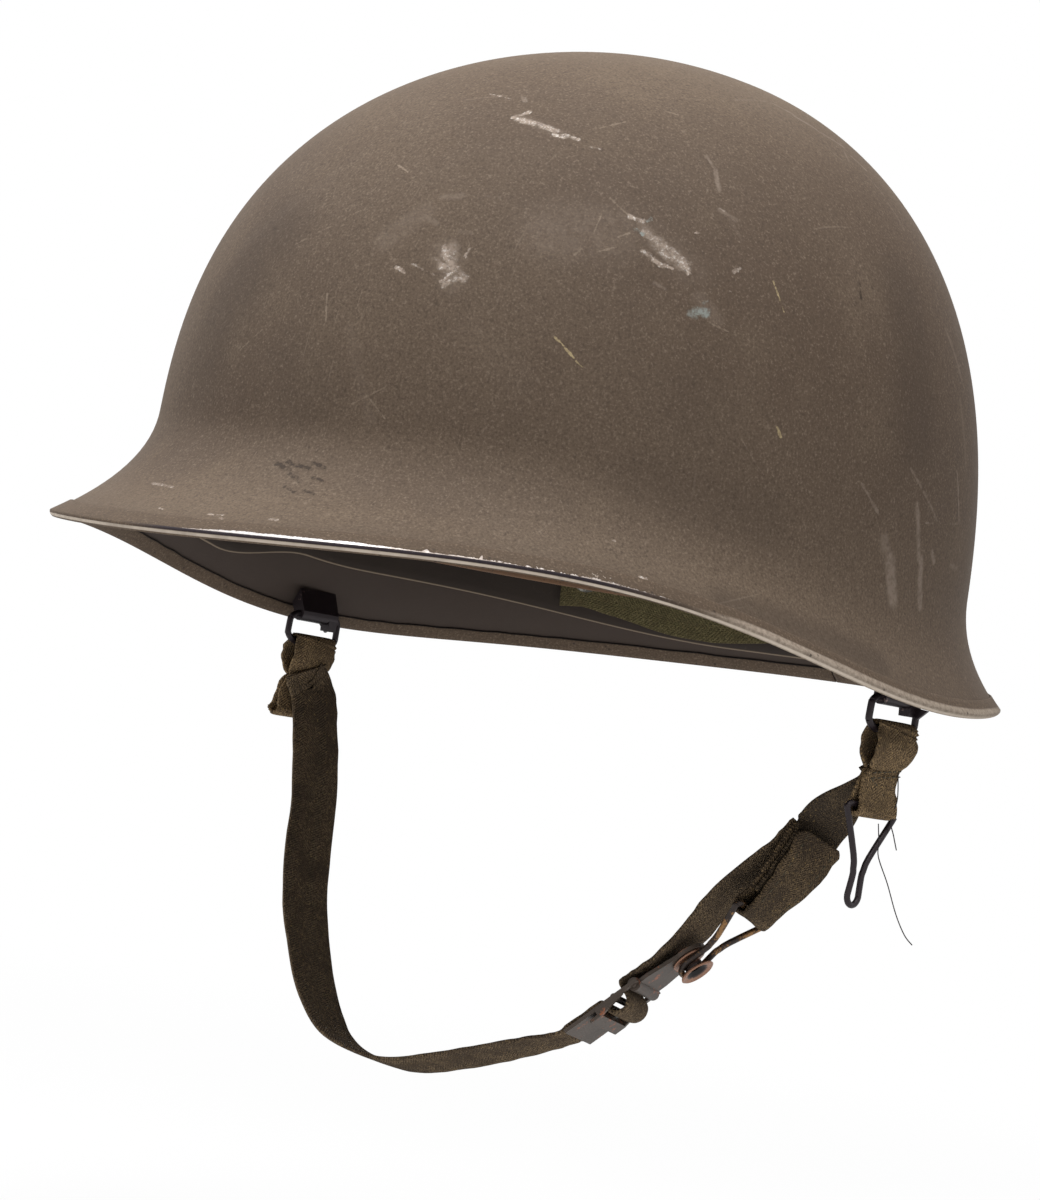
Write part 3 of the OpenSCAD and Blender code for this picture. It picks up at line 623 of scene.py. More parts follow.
@dataclass(frozen=True)
class Dome:
    """The pressed shell's outer face, in millimetres; angles run from the brim over the wearer's left.

    A field of three values holds the one at the front, the one at the sides and the one at the back.
    """

    half_w: float = 108.5
    half_l: float = 118.0
    power: float = 2.05
    crown: float = 164.5
    crown_back: float = 11.5
    upright: Vec = (43, 43, -11)
    fullness: Vec = (2.6, 2.3, 2.45)
    flare: Vec = (31, 11.6, 15.5)
    flare_height: Vec = (32.5, 30, 28)
    flare_curve: Vec = (1.9, 2.15, 2.05)
    visor_width: float = 3.2
    rim_lift: float = 10
    sight_near: float = 700.0
    sight_far: float = 1100.0
    sight_step: float = 0.25

    @staticmethod
    def share(angle: np.ndarray, values: Vec) -> np.ndarray:
        """Blends a front, side and rear value round the dome.

        Args:
            angle: Angles round the dome, in radians.
            values: The front, side and rear value.

        Returns:
            The blended values.
        """
        front, side, rear = values
        f, r = np.maximum(np.cos(angle), 0) ** 2, np.maximum(-np.cos(angle), 0) ** 2
        return front * f + side * (1 - f - r) + rear * r

    def rim(self, angle: np.ndarray) -> np.ndarray:
        """Works out the rim's height round the dome.

        Args:
            angle: Angles round the dome, in radians.

        Returns:
            The height at each of them.
        """
        c = [np.cos(k * angle) for k in range(6)]
        wave = 7.7 * c[1] + 1.5 * (c[2] + 1) - 1.4 * c[3] - 2.9 * (c[4] - 1) + 0.6 * c[5]
        return wave + self.rim_lift * np.maximum(-c[1], 0) ** 7

    def radius(self, a: np.ndarray, z: np.ndarray) -> np.ndarray:
        """Works out how far the face lies from the dome's axis.

        Args:
            a: Angles round the dome, in radians.
            z: Heights.

        Returns:
            The distance at each angle and height.
        """
        s, c = np.abs(np.sin(a)), np.abs(np.cos(a))
        plan = ((s / self.half_w) ** self.power + (c / self.half_l) ** self.power) ** (-1 / self.power)
        upright = self.share(a, self.upright)
        t = np.clip((z - upright) / (self.crown - upright), 0, 1)
        wall = plan * np.sqrt(np.maximum(0, 1 - t ** self.share(a, self.fullness)))
        front = np.maximum(np.cos(a), 0) ** self.visor_width
        rear = np.maximum(-np.cos(a), 0) ** 2
        side = np.where(np.cos(a) > 0, 1 - front, 1 - rear)
        reach = self.flare[0] * front + self.flare[1] * side + self.flare[2] * rear
        fade = np.maximum(0, 1 - (z - self.rim(a)) / self.share(a, self.flare_height))
        return wall + reach * fade ** self.share(a, self.flare_curve)

    def shift(self, z: np.ndarray) -> np.ndarray:
        """Returns how far back the dome's axis lies at a height."""
        return self.crown_back * (np.maximum(z, 0) / self.crown) ** 2

    def point(self, degrees: np.ndarray, u: np.ndarray) -> np.ndarray:
        """Returns points of the outer face.

        Args:
            degrees: Angles round the dome.
            u: 0 at the rim to 1 at the crown.

        Returns:
            The points.
        """
        degrees, u = np.broadcast_arrays(np.asarray(degrees, float), np.asarray(u, float))
        a = np.radians(degrees)
        low = self.rim(a)
        z = low + (self.crown - low) * np.sin(np.pi / 2 * u)
        r = self.radius(a, z)
        return np.stack([r * np.sin(a), -r * np.cos(a) + self.shift(z), z], -1)

    def seen(self, pixels: np.ndarray) -> np.ndarray:
        """Finds the points of the outer face that the photograph shows at pixels.

        Args:
            pixels: Places in the photograph, from its left and from its top.

        Returns:
            One point for each of them.
        """
        far = np.arange(self.sight_near, self.sight_far, self.sight_step)
        line = np.array(VIEW.at) + far[None, :, None] * VIEW.sight(pixels)[:, None]
        x, y, z = line[..., 0], line[..., 1] - self.shift(line[..., 2]), line[..., 2]
        angle = np.arctan2(x, -y)
        gap = np.hypot(x, y) - self.radius(angle, z)
        last = np.argmax((gap < 0) & (z > self.rim(angle)), 1)
        ray = np.arange(len(pixels))
        share = gap[ray, last - 1] / (gap[ray, last - 1] - gap[ray, last])
        return line[ray, last - 1] + share[:, None] * (line[ray, last] - line[ray, last - 1])

    def normal(self, degrees: np.ndarray, u: np.ndarray) -> np.ndarray:
        """Works out the outward directions at points of the face.

        Args:
            degrees: Angles round the dome.
            u: 0 at the rim to 1 at the crown.

        Returns:
            The directions, at length one.
        """
        lo, hi = np.maximum(0, u - 0.002), np.minimum(0.9995, u + 0.002)
        rise = self.point(degrees, hi) - self.point(degrees, lo)
        return unit(np.cross(rise, self.point(degrees - 0.5, u) - self.point(degrees + 0.5, u)))

    def inside(self, degrees: np.ndarray, u: np.ndarray, depth: float | np.ndarray) -> np.ndarray:
        """Returns points at a depth inside the face.

        Args:
            degrees: Angles round the dome.
            u: 0 at the rim to 1 at the crown.
            depth: How far inside the face, for each point or for all.

        Returns:
            The points.
        """
        degrees, u = np.broadcast_arrays(np.asarray(degrees, float), np.asarray(u, float))
        depth = np.asarray(depth, float)
        return self.point(degrees, u) - (depth[..., None] if depth.ndim else depth) * self.normal(degrees, u)

    def row(self, degrees: np.ndarray, rise: np.ndarray | float) -> np.ndarray:
        """Returns u for a height above the rim."""
        low = self.rim(np.radians(degrees))
        return np.degrees(np.arcsin(np.clip(rise / (self.crown - low), -1, 1))) / 90

    def wall(
        self, name: str, outer: float, inner: float, edge: np.ndarray | float, material: bpy.types.Material,
        columns: int = 360, rows: int = 96,
    ) -> bpy.types.Object:
        """Makes a closed wall between two depths.

        Args:
            name: The piece's name.
            outer: The outer face's depth.
            inner: The inner face's depth.
            edge: The height of the wall's edge above the rim, per column or for all.
            material: Its finish.
            columns: Columns round the dome.
            rows: Rows from the edge to the crown.

        Returns:
            The new object. Its UV map runs round, and across from the outer face to the inner one.
        """
        degrees = np.arange(columns) * 360 / columns
        u0 = self.row(degrees, edge)
        share = (np.arange(rows) / rows) ** 1.15
        u = u0[None] + (1 - u0[None]) * share[:, None]
        turn = np.broadcast_to(degrees, u.shape)
        mid = (outer + inner) / 2
        drop = self.point(turn[:1], u[:1]) - self.point(turn[:1], u[:1] + 0.004)
        lip = self.inside(turn[:1], u[:1], mid) + drop * 0.3
        grid = np.concatenate([self.inside(turn, u, outer)[::-1], lip, self.inside(turn, u, inner)])
        count = len(grid)
        k, i = np.meshgrid(np.arange(count - 1), np.arange(columns), indexing="ij")
        j = (i + 1) % columns
        corners = [k * columns + i, k * columns + j, (k + 1) * columns + j, (k + 1) * columns + i]
        faces = np.stack(corners, -1).reshape(-1, 4).tolist()
        poles = [[0, self.crown_back, self.crown - outer], [0, self.crown_back, self.crown - inner]]
        base, last = count * columns, (count - 1) * columns
        for ring, pole in ((0, base), (last, base + 1)):
            faces += [[ring + n, ring + (n + 1) % columns, pole] for n in range(columns)]
        face = np.repeat([0.0, 0.5, 1.0], [rows, 1, rows])
        face[rows - 6 : rows], face[rows + 1] = np.arange(1, 7) / 30, 0.8
        uv = np.stack(np.broadcast_arrays(degrees[None] / 360, face[:, None]), -1).reshape(-1, 2)
        uv = np.concatenate([uv, [[0.5, 0.0], [0.5, 1.0]]])
        return solid(name, np.concatenate([grid.reshape(-1, 3), poles]), faces, material, uv, 1.0)


DOME = Dome()


class WearAndShade(Enum):
    """The kinds of mark on the painted shell, with SHADE for broad painted shade: colour and raggedness."""

    PALE = ((160, 144, 130), 0.7)
    BLUISH = ((136, 140, 134), 0.85)
    KHAKI = ((170, 152, 116), 0.5)
    FINE = ((138, 122, 106), 0.5)
    DARK = ((64, 53, 44), 0.8)
    RUB = ((132, 117, 104), 0.55)
    # Broad painted shade.
    SHADE = ((62, 51, 43), 0.15)


@dataclass(frozen=True)
class Stroke:
    """One straight stroke of wear, of painted shade or of a painted highlight, in the photograph's pixels:
    both ends, its width and its strength.
    """

    x0: float
    y0: float
    x1: float
    y1: float
    width: float
    strength: float = 1.0


# Read off the photograph, stroke by stroke. Each kind lies over the ones before it.
STROKES: dict[WearAndShade, tuple[Stroke, ...]] = {
    kind: tuple(Stroke(*row) for row in rows)
    for kind, rows in {
        # Painted shade: broad dark strokes on the parts of the dome that turn from the light.
        WearAndShade.SHADE: (
            (212, 340, 274, 236, 116, 0.34), (902, 290, 916, 430, 90, 0.34), (724, 602, 880, 664, 40, 0.4),
            (640, 482, 760, 520, 80, 0.26), (690, 400, 720, 440, 90, 0.2), (290, 360, 312, 400, 80, 0.2),
            (500, 430, 560, 440, 50, 0.12),
        ),
        WearAndShade.RUB: (
            (642, 226, 658, 244, 15, 0.5), (656, 242, 680, 262, 20, 0.55), (720, 210, 736, 220, 6, 0.45),
            (728, 218, 742, 240, 5, 0.25), (654, 283, 665, 289, 5, 0.45), (444, 197, 461, 196, 9, 0.4),
            (424, 215, 437, 223, 8, 0.35), (460, 231, 470, 233, 6, 0.3), (386, 240, 424, 212, 30, 0.3),
            (446, 250, 452, 280, 34, 0.35), (648, 236, 690, 270, 52, 0.22), (600, 190, 640, 215, 30, 0.14),
            (700, 298, 716, 318, 20, 0.3), (520, 118, 560, 134, 16, 0.35), (706, 156, 715, 170, 4, 0.6),
            (715, 170, 719, 190, 5.5, 0.65), (466, 100, 506, 96, 4, 0.35), (440, 196, 500, 197, 3, 0.3),
            (884, 540, 888, 560, 16, 0.5), (890, 560, 893, 600, 17, 0.85), (917, 505, 919, 560, 8, 0.65),
            (921, 560, 920, 606, 10, 0.8), (862, 484, 878, 513, 3, 0.55), (911, 469, 937, 520, 3.5, 0.5),
            (925, 523, 958, 524, 2.2, 0.7), (957, 472, 959, 523, 3.5, 0.6), (932, 552, 934, 562, 7, 0.6),
            (950, 566, 957, 568, 5, 0.4), (946, 330, 962, 380, 8, 0.35), (960, 400, 966, 470, 6, 0.3),
            (350, 330, 370, 420, 16, 0.2), (470, 330, 520, 380, 40, 0.14), (240, 250, 330, 180, 24, 0.14),
            (734, 100, 770, 102, 3, 0.4), (772, 103, 794, 115, 5, 0.5), (794, 116, 816, 129, 6, 0.55),
            (818, 131, 842, 146, 6, 0.5), (844, 151, 849, 162, 3, 0.6), (852, 157, 866, 170, 4.5, 0.6),
            # The last stroke here is a painted highlight: the high middle of the dome made paler where it
            # takes the light.
            (866, 175, 882, 193, 4, 0.4), (888, 203, 904, 229, 4, 0.35), (556, 230, 606, 232, 84, 0.34),
        ),
        WearAndShade.PALE: (
            (512, 118, 530, 112, 4.5, 0.9), (518, 119, 540, 125, 8), (536, 124, 556, 131, 7),
            (554, 134, 566, 138, 4), (564, 135, 578, 139, 4, 0.9), (490, 94, 512, 99, 2, 0.5),
            (522, 97, 526, 101, 5, 0.35), (591, 147, 600, 149, 3, 0.5), (630, 217, 643, 221, 5),
            (644, 232, 662, 246, 9, 0.5), (660, 246, 684, 264, 16, 0.55), (653, 259, 659, 264, 4.5),
            (660, 265, 672, 268, 3.5, 0.9), (686, 264, 688, 274, 3, 0.8), (643, 251, 650, 256, 5, 0.6),
            (444, 246, 446, 256, 6, 0.7), (446, 255, 450, 263, 9, 0.75), (441, 266, 455, 268, 8, 0.65),
            (442, 281, 453, 271, 3.4), (443, 286, 449, 282, 5, 0.7), (455, 277, 464, 281, 5, 0.6),
            (465, 256, 466, 257, 3), (466, 254, 469, 249, 3, 0.6), (396, 267, 404, 272, 3.4),
            (412, 264, 434, 275, 1.6, 0.45), (153, 483, 172, 487, 4, 0.5), (700, 602, 722, 610, 3, 0.8),
            (695, 233, 698, 233, 2, 0.9), (721, 209, 724, 211, 3, 0.5), (730, 291, 732, 292, 2, 0.8),
            (734, 272, 740, 268, 3, 0.5), (160, 508, 163, 509, 2.4, 0.8), (209, 514, 215, 515, 2.6, 0.8),
            (217, 515, 223, 515, 2.6, 0.9), (220, 518, 222, 519, 2, 0.6), (270, 519, 277, 520, 2.6, 0.9),
            (640, 577, 646, 579, 3, 0.9), (612, 540, 616, 541, 2, 0.5), (684, 258, 689, 273, 5, 0.8),
            (452, 248, 450, 278, 15, 0.38), (458, 272, 466, 278, 6, 0.4), (434, 258, 440, 262, 4, 0.3),
        ),
        WearAndShade.BLUISH: (
            (697, 311, 706, 313, 9, 0.9), (690, 314, 695, 316, 7, 0.45), (637, 230, 643, 234, 3.4, 1),
            (647, 221, 651, 219, 3, 0.6), (704, 303, 708, 301, 3, 0.5),
        ),
        WearAndShade.KHAKI: (
            (555, 337, 564, 346, 1.6), (565, 348, 574, 358, 1.4, 0.9), (576, 361, 582, 367, 1.6),
            (773, 281, 784, 312, 1.2, 0.7), (777, 427, 781, 437, 2.4, 0.8),
        ),
        WearAndShade.FINE: (
            (395, 163, 408, 172, 1.6, 0.8), (602, 214, 594, 232, 1.5, 0.7), (600, 251, 616, 247, 1.8, 0.9),
            (618, 237, 629, 233, 1.5, 0.7), (575, 254, 581, 249, 3, 0.6), (610, 198, 629, 216, 1.2, 0.5),
            (600, 128, 625, 122, 1.4, 0.6), (665, 111, 678, 115, 1.4, 0.6), (681, 98, 705, 100, 1.2, 0.4),
            (327, 294, 326, 322, 1.6, 0.6), (358, 384, 388, 422, 1.3, 0.6), (352, 404, 384, 388, 1.3, 0.5),
            (350, 216, 374, 204, 1.2, 0.5), (710, 323, 729, 332, 1.6, 0.5), (296, 244, 332, 226, 1.2, 0.4),
            (240, 350, 262, 330, 1.2, 0.4), (800, 130, 842, 160, 1.6, 0.5), (742, 440, 760, 470, 1.3, 0.4),
            (640, 330, 668, 352, 1.2, 0.3),
        ),
        WearAndShade.DARK: (
            (276, 464, 290, 470, 5), (288, 462, 298, 466, 5), (290, 474, 300, 481, 5),
            (300, 466, 312, 469, 4), (312, 462, 324, 468, 5), (284, 487, 294, 492, 4, 0.8),
            (304, 490, 312, 494, 4, 0.8), (314, 478, 322, 481, 4), (859, 284, 862, 299, 3, 0.9),
        ),
    }.items()
}


@dataclass(frozen=True)
class ShellPaint:
    """Sand-grained olive paint with mottling, scratches and the shell's own marks, with painted light on the
    crown and the low front flare, broad painted shade strokes and painted shade on the inner face.
    """

    name: str = "olive shell paint"
    base: Rgb = (101, 86, 72)
    dark: Rgb = (91, 76, 63)
    light: Rgb = (122, 106, 89)
    pit: Rgb = (70, 58, 49)
    grain: Rgb = (148, 131, 115)
    scratch: Rgb = (146, 130, 114)
    foot: Rgb = (82, 69, 57)
    # Painted shade: the shell's inner face, under the brim, is darkened with this colour.
    inside: Rgb = (71, 61, 55)
    glint: Rgb = (232, 224, 216)
    grain_depth: float = 0.00022

    def build(self) -> bpy.types.Material:
        """Makes the paint.

        Returns:
            The finished material.
        """
        g = Graph(self.name)
        p = g.place()
        _, depth, high = g.parts(p)
        _, inner, _ = g.parts(g.uv())
        cloud = g.noise(p, 55, 4, 0.62)
        grit = g.noise(p, 1500, 2, 0.65)
        speckle = g.noise(p, 620, 3, 0.7)
        # Paler towards the crown and on the low front flare: painted light where the surface faces up, laid
        # over the paint's own cloud mottle.
        painted_top_light = (high.rise(0.10, 0.20) * 0.9 + high.rise(0.034, 0.012) * depth.rise(0.05, -0.08) * 0.8).clamp()
        colour = g.mix(tint(*self.dark), tint(*self.base), g.noise(p, 13, 3, 0.55).rise(0.35, 0.62))
        colour = g.coats(
            colour,
            (self.light, (cloud.rise(0.5, 0.8) * 0.3 + painted_top_light * 0.55).clamp()),
            (self.pit, (grit.rise(0.53, 0.3) * 0.5 + speckle.rise(0.48, 0.28) * 0.35).clamp()),
            (self.grain, (grit.rise(0.54, 0.74) * 0.38 + speckle.rise(0.58, 0.78) * 0.4).clamp()),
            (self.scratch, self.scratches(g, p)),
            (self.foot, inner.rise(0.0, 0.2) * 0.5),
        )
        colour, bare = self.marks(g, p, colour)
        # Painted shade darkens the shell's inner face, under the brim.
        colour = g.coats(colour, (self.inside, inner.rise(0.3, 0.7)))
        rough = 0.76 + (cloud - 0.5) * 0.15 - bare * 0.15
        height = grit * 0.45 + speckle * 0.4 + cloud * 0.25
        return g.finish(colour, rough, height=height, depth=self.grain_depth, strength=0.6, specular=0.22)

    def scratches(self, g: Graph, p: bpy.types.NodeSocket) -> Num:
        """Makes the faint long scratches that cross the shell in several directions.

        Args:
            g: The graph that they are made in.
            p: Where the surface is.

        Returns:
            How far they show.
        """
        lines: Num | None = None
        for turn, shift in (((0.3, 0.2, 0.5), 0.0), ((1.1, -0.6, 2.0), 3.1), ((-0.7, 1.2, 1.2), 7.7)):
            streak = g.noise(g.stretched(p, turn, (1300 + shift, 16, 60)), 1.0, 1, 0.5).rise(0.72, 0.80)
            lines = streak if lines is None else lines.most(streak)
        return (lines * g.noise(p, 26, 2, 0.5).rise(0.48, 0.66) * 0.4).clamp()

    def marks(self, g: Graph, p: bpy.types.NodeSocket, colour: object) -> tuple[bpy.types.NodeSocket, Num]:
        """Lays the shell's own marks on a colour, with the painted shade and painted highlight strokes, each
        kind over the ones before.

        Args:
            g: The graph that they are made in.
            p: Where the surface is.
            colour: The colour below them.

        Returns:
            The new colour, and how far bare spots show.
        """
        ragged = g.noise(p, 520, 4, 0.7)
        flake = g.noise(p, 1000, 3, 0.65) * 0.6 + g.noise(p, 380, 2, 0.6) * 0.4
        glint = g.noise(p, 1250, 2, 0.7).rise(0.50, 0.66)
        bare: Num | None = None
        for kind, strokes in STROKES.items():
            shade, rag = kind.value
            starts = DOME.seen(np.array([(s.x0, s.y0) for s in strokes]))
            ends = DOME.seen(np.array([(s.x1, s.y1) for s in strokes]))
            away = np.linalg.norm((starts + ends) / 2 - VIEW.at, axis=1)
            cover: Num | None = None
            shift = (ragged - 0.5) * (rag * 0.0034)
            for stroke, start, end, distance in zip(strokes, starts, ends, away):
                half = stroke.width / 2 * distance / VIEW.focal() * MM
                gap = g.stroke(p, start, end) + shift
                hit = gap.rise(half * 1.6, half * 0.3) * stroke.strength
                cover = hit if cover is None else cover.most(hit)
            share = cover.rise(0.0, 0.9) * (flake.rise(0.38, 0.60) * (rag * 1.3) + (1 - rag))
            mark = tint(*shade)
            if kind is WearAndShade.PALE:
                mark = g.mix(mark, tint(*self.glint), glint * 0.7)
            colour = g.mix(colour, mark, share.clamp())
            if kind in (WearAndShade.PALE, WearAndShade.KHAKI, WearAndShade.BLUISH):
                bare = share if bare is None else bare.most(share)
        return colour, bare


@dataclass(frozen=True)
class RimPaint:
    """Paint on the rim strip, worn to bright metal along the brim, with a painted glare on that metal and a
    painted shadow line where the inner leg meets the shell; the UV map runs round and across.
    """

    name: str = "worn rim paint"
    light: Rgb = (98, 82, 67)
    dark: Rgb = (84, 70, 57)
    pit: Rgb = (66, 55, 46)
    grain: Rgb = (140, 123, 106)
    gap_shadow: Rgb = (28, 24, 22)
    buffed: Rgb = (178, 163, 147)
    chip: Rgb = (52, 44, 40)
    scuff: Rgb = (176, 162, 148)
    line: Rgb = (40, 34, 42)
    lip: Rgb = (206, 192, 176)
    metal: Rgb = (168, 154, 144)
    glare: Rgb = (240, 236, 234)
    corner: float = 0.312

    def build(self) -> bpy.types.Material:
        """Makes the strip's paint.

        Returns:
            The finished material.
        """
        g = Graph(self.name)
        p = g.place()
        turn, across, _ = g.parts(g.uv())
        fine, slow = g.noise(p, 900, 3, 0.7) - 0.5, g.noise(p, 150, 3, 0.65) - 0.5
        brow = turn.rise(0.010, 0.022) * turn.rise(0.165, 0.135)
        core = turn.rise(0.018, 0.034) * turn.rise(0.082, 0.060)
        burr = self.burr(turn, 0.0836, 0.0012) * 0.6 + self.burr(turn, 0.0983, 0.0006)
        chipped = turn.rise(0.090, 0.115)
        reach = brow * 0.0125 + core * 0.022 + burr * 0.05
        reach = reach + (fine * 0.06 + slow * 0.05) * (chipped + 0.5) - chipped * 0.004
        below = (across - (self.corner - reach)) * 260
        worn = across.rise(self.corner + 0.004, self.corner - 0.002)
        bright = (below.clamp() * worn * brow.rise(0.05, 0.4)).clamp()
        line = across.rise(self.corner - 0.004, self.corner + 0.004) * across.rise(0.44, 0.42)
        line = line * turn.rise(-0.01, 0.012) * turn.rise(0.17, 0.13)
        lip = across.rise(0.43, 0.46) * across.rise(0.56, 0.52) * (0.95 + slow * 1.2)
        side = turn.rise(0.155, 0.19) * turn.rise(0.40, 0.33)
        buff = (across + side * 0.06).rise(0.30, 0.34) * across.rise(0.66, 0.58) * side * (0.8 + fine * 1.8)
        speck = g.cells(p, 420).rise(0.24, 0.1) * g.noise(p, 180, 2, 0.5).rise(0.45, 0.6)
        leg = across.rise(0.02, 0.05) * across.rise(0.30, 0.27)
        grit = g.noise(p, 1500, 2, 0.65)
        colour = g.coats(
            g.mix(tint(*self.light), tint(*self.dark), g.noise(p, 150, 3, 0.6)),
            (self.pit, grit.rise(0.53, 0.32) * 0.5),
            (self.grain, grit.rise(0.54, 0.74) * 0.45),
            # Painted shadow: a dark line along the top of the strip's inner leg, where it meets the shell.
            (self.gap_shadow, across.rise(0.925, 0.945) * 0.95),
            (self.buffed, buff.clamp() * 0.9),
            (self.chip, (speck * across.rise(0.2, 0.3)).clamp() * 0.8),
            (self.scuff, (leg * brow * (fine + slow * 0.7).rise(0.2, 0.28)).clamp() * 0.8),
            (self.line, line.clamp() * 0.9),
            (self.lip, lip.clamp() * turn.rise(0.36, 0.26) * 0.95),
        )
        glare = g.mix(tint(*self.metal), tint(*self.glare), (core * 0.9 + fine * 2.0).clamp())
        colour = g.mix(colour, glare, bright)
        height = g.noise(p, 1500, 2, 0.6) * 0.6 - bright * 0.4 - speck * 0.4
        rough = 0.76 - bright * 0.46
        metal = bright * (core * 0.5 + 0.12)
        return g.finish(colour, rough, metal, height, depth=0.00015, strength=0.6, specular=0.22)

    @staticmethod
    def burr(turn: Num, middle: float, half: float) -> Num:
        """Returns a short bump round the strip, 1 at its middle."""
        return turn.rise(middle - half, middle) * turn.rise(middle + half, middle)


@dataclass(frozen=True)
class LinerPaint:
    """Dark painted fibre of the inner liner, with faint moulding mottles and a thin pale edge."""

    name: str = "liner paint"
    dark: Rgb = (46, 40, 37)
    light: Rgb = (62, 54, 48)
    fibre: Rgb = (80, 70, 60)
    edge: Rgb = (142, 126, 108)

    def build(self) -> bpy.types.Material:
        """Makes the liner's paint.

        Returns:
            The finished material.
        """
        g = Graph(self.name)
        p = g.place()
        mottle = g.noise(p, 45, 4, 0.6)
        fibre = g.noise(g.stretched(p, (0.2, 0.4, 0.3), (900, 260, 900)), 1.0, 3, 0.6)
        _, face, _ = g.parts(g.uv())
        colour = g.coats(
            g.mix(tint(*self.dark), tint(*self.light), mottle),
            (self.fibre, fibre.rise(0.62, 0.8) * 0.3),
            (self.edge, face.rise(0.66, 0.76) * face.rise(0.845, 0.81) * 0.85),
        )
        rough = 0.78 + (mottle - 0.5) * 0.2
        height = fibre * 0.6 + mottle * 0.4
        return g.finish(colour, rough, height=height, depth=0.0002, strength=0.5, specular=0.12)


@dataclass(frozen=True)
class Webbing:
    """Woven cotton web; its UV map is in millimetres, along and across the web."""

    name: str
    yarn: Rgb
    shade: Rgb
    soil: Rgb
    lint: Rgb
    rib: float = 0.9
    bone: float = 4.0

    def build(self) -> bpy.types.Material:
        """Makes the web's cloth.

        Returns:
            The finished material.
        """
        g = Graph(self.name)
        p = g.place()
        along, across, _ = g.parts(g.uv())
        slant = across.zigzag(self.bone)
        twill = ((along * (1 / self.rib) + slant * (0.9 / self.rib)) * (2 * math.pi)).sine() * 0.5 + 0.5
        ends = (across * (2 * math.pi / (self.rib * 0.62))).sine() * 0.5 + 0.5
        weave = twill * 0.65 + ends * 0.35
        fuzz = g.noise(p, 2600, 3, 0.7)
        stain = g.noise(p, 70, 4, 0.6)
        worn = g.noise(p, 1500, 3, 0.75)
        share = (weave * 0.45 + fuzz.rise(0.35, 0.65) * 0.4 + worn.rise(0.4, 0.62) * 0.45 - 0.3).clamp()
        colour = g.coats(
            g.mix(tint(*self.shade), tint(*self.yarn), share),
            (self.soil, stain.rise(0.44, 0.62) * 0.6),
            (self.lint, g.noise(p, 1300, 2, 0.7).rise(0.60, 0.72) * 0.55),
        )
        height = weave * 0.6 + fuzz * 0.4 + worn * 0.5
        return g.finish(colour, 0.95, height=height, depth=0.00045, strength=0.9, specular=0.1)


@dataclass(frozen=True)
class Metal:
    """Painted or plated metal worn through to another colour on its raised parts, with a painted dark hollow
    where one is given.
    """

    name: str
    coat: Rgb
    worn: Rgb
    wear: float
    rough: float = 0.45
    metal: float = 0.4
    hollow: tuple[Vec, Vec, float] | None = None
    hollow_rim: Rgb = (168, 122, 96)
    hollow_shade: Rgb = (22, 18, 18)

    def build(self) -> bpy.types.Material:
        """Makes the metal's finish.

        Returns:
            The finished material.
        """
        g = Graph(self.name)
        p = g.place()
        patch = g.noise(p, 260, 4, 0.65)
        grit = g.noise(p, 1500, 3, 0.6)
        bare = (patch + (grit - 0.5) * 0.4).rise(1.0 - self.wear, 1.12 - self.wear)
        deep = tint(*[int(c * 0.72) for c in self.coat])
        colour = g.coats(g.mix(tint(*self.coat), deep, g.noise(p, 90, 3, 0.6)), (self.worn, bare))
        # Painted shade of a hollow on a flat face: a dark middle inside a coppery ring.
        if self.hollow:
            start, end, radius = self.hollow
            gap = g.stroke(p, start, end)
            colour = g.coats(
                colour,
                (self.hollow_rim, gap.rise(radius * MM, radius * MM * 1.15) * 0.7),
                (self.hollow_shade, gap.rise(radius * MM, radius * MM * 0.88)),
            )
        rough, metal = self.rough + (grit - 0.5) * 0.2, (bare * 0.5 + self.metal).clamp()
        return g.finish(colour, rough, metal, grit * 0.5 + bare * 0.3, depth=0.0001, strength=0.4)


@dataclass(frozen=True)
class Leather:
    """Dull brown sweatband leather with pores and creases."""

    name: str = "sweatband leather"
    dark: Rgb = (92, 62, 38)
    light: Rgb = (126, 90, 58)
    pore: Rgb = (60, 40, 26)

    def build(self) -> bpy.types.Material:
        """Makes the leather.

        Returns:
            The finished material.
        """
        g = Graph(self.name)
        p = g.place()
        pores = g.cells(p, 900)
        crease = g.noise(g.stretched(p, (0, 0, 0), (60, 60, 300)), 1.0, 4, 0.6)
        colour = g.mix(tint(*self.dark), tint(*self.light), crease)
        colour = g.coats(colour, (self.pore, pores.rise(0.3, 0.1) * 0.6))
        rough, height = 0.55 + (crease - 0.5) * 0.2, pores * 0.5 + crease * 0.5
        return g.finish(colour, rough, height=height, depth=0.0003, strength=0.6)


@dataclass(frozen=True)
class Thread:
    """Twisted sewing thread."""

    name: str
    colour: Rgb

    def build(self) -> bpy.types.Material:
        """Makes the thread's finish.

        Returns:
            The finished material.
        """
        g = Graph(self.name)
        twist = g.noise(g.place(), 3000, 2, 0.6)
        colour = g.mix(tint(*self.colour), tint(*[int(c * 0.6) for c in self.colour]), twist)
        return g.finish(colour, 0.85, height=twist, depth=0.0001, strength=0.5, sheen=0.1)


def stud_frame() -> Frame:
    """Returns the place and the axes of the stud and its plate."""
    return Frame.facing((68.0, 0.9, -76.2), (-0.606, -0.36, -0.71), (0.72, 0.132, -0.682))


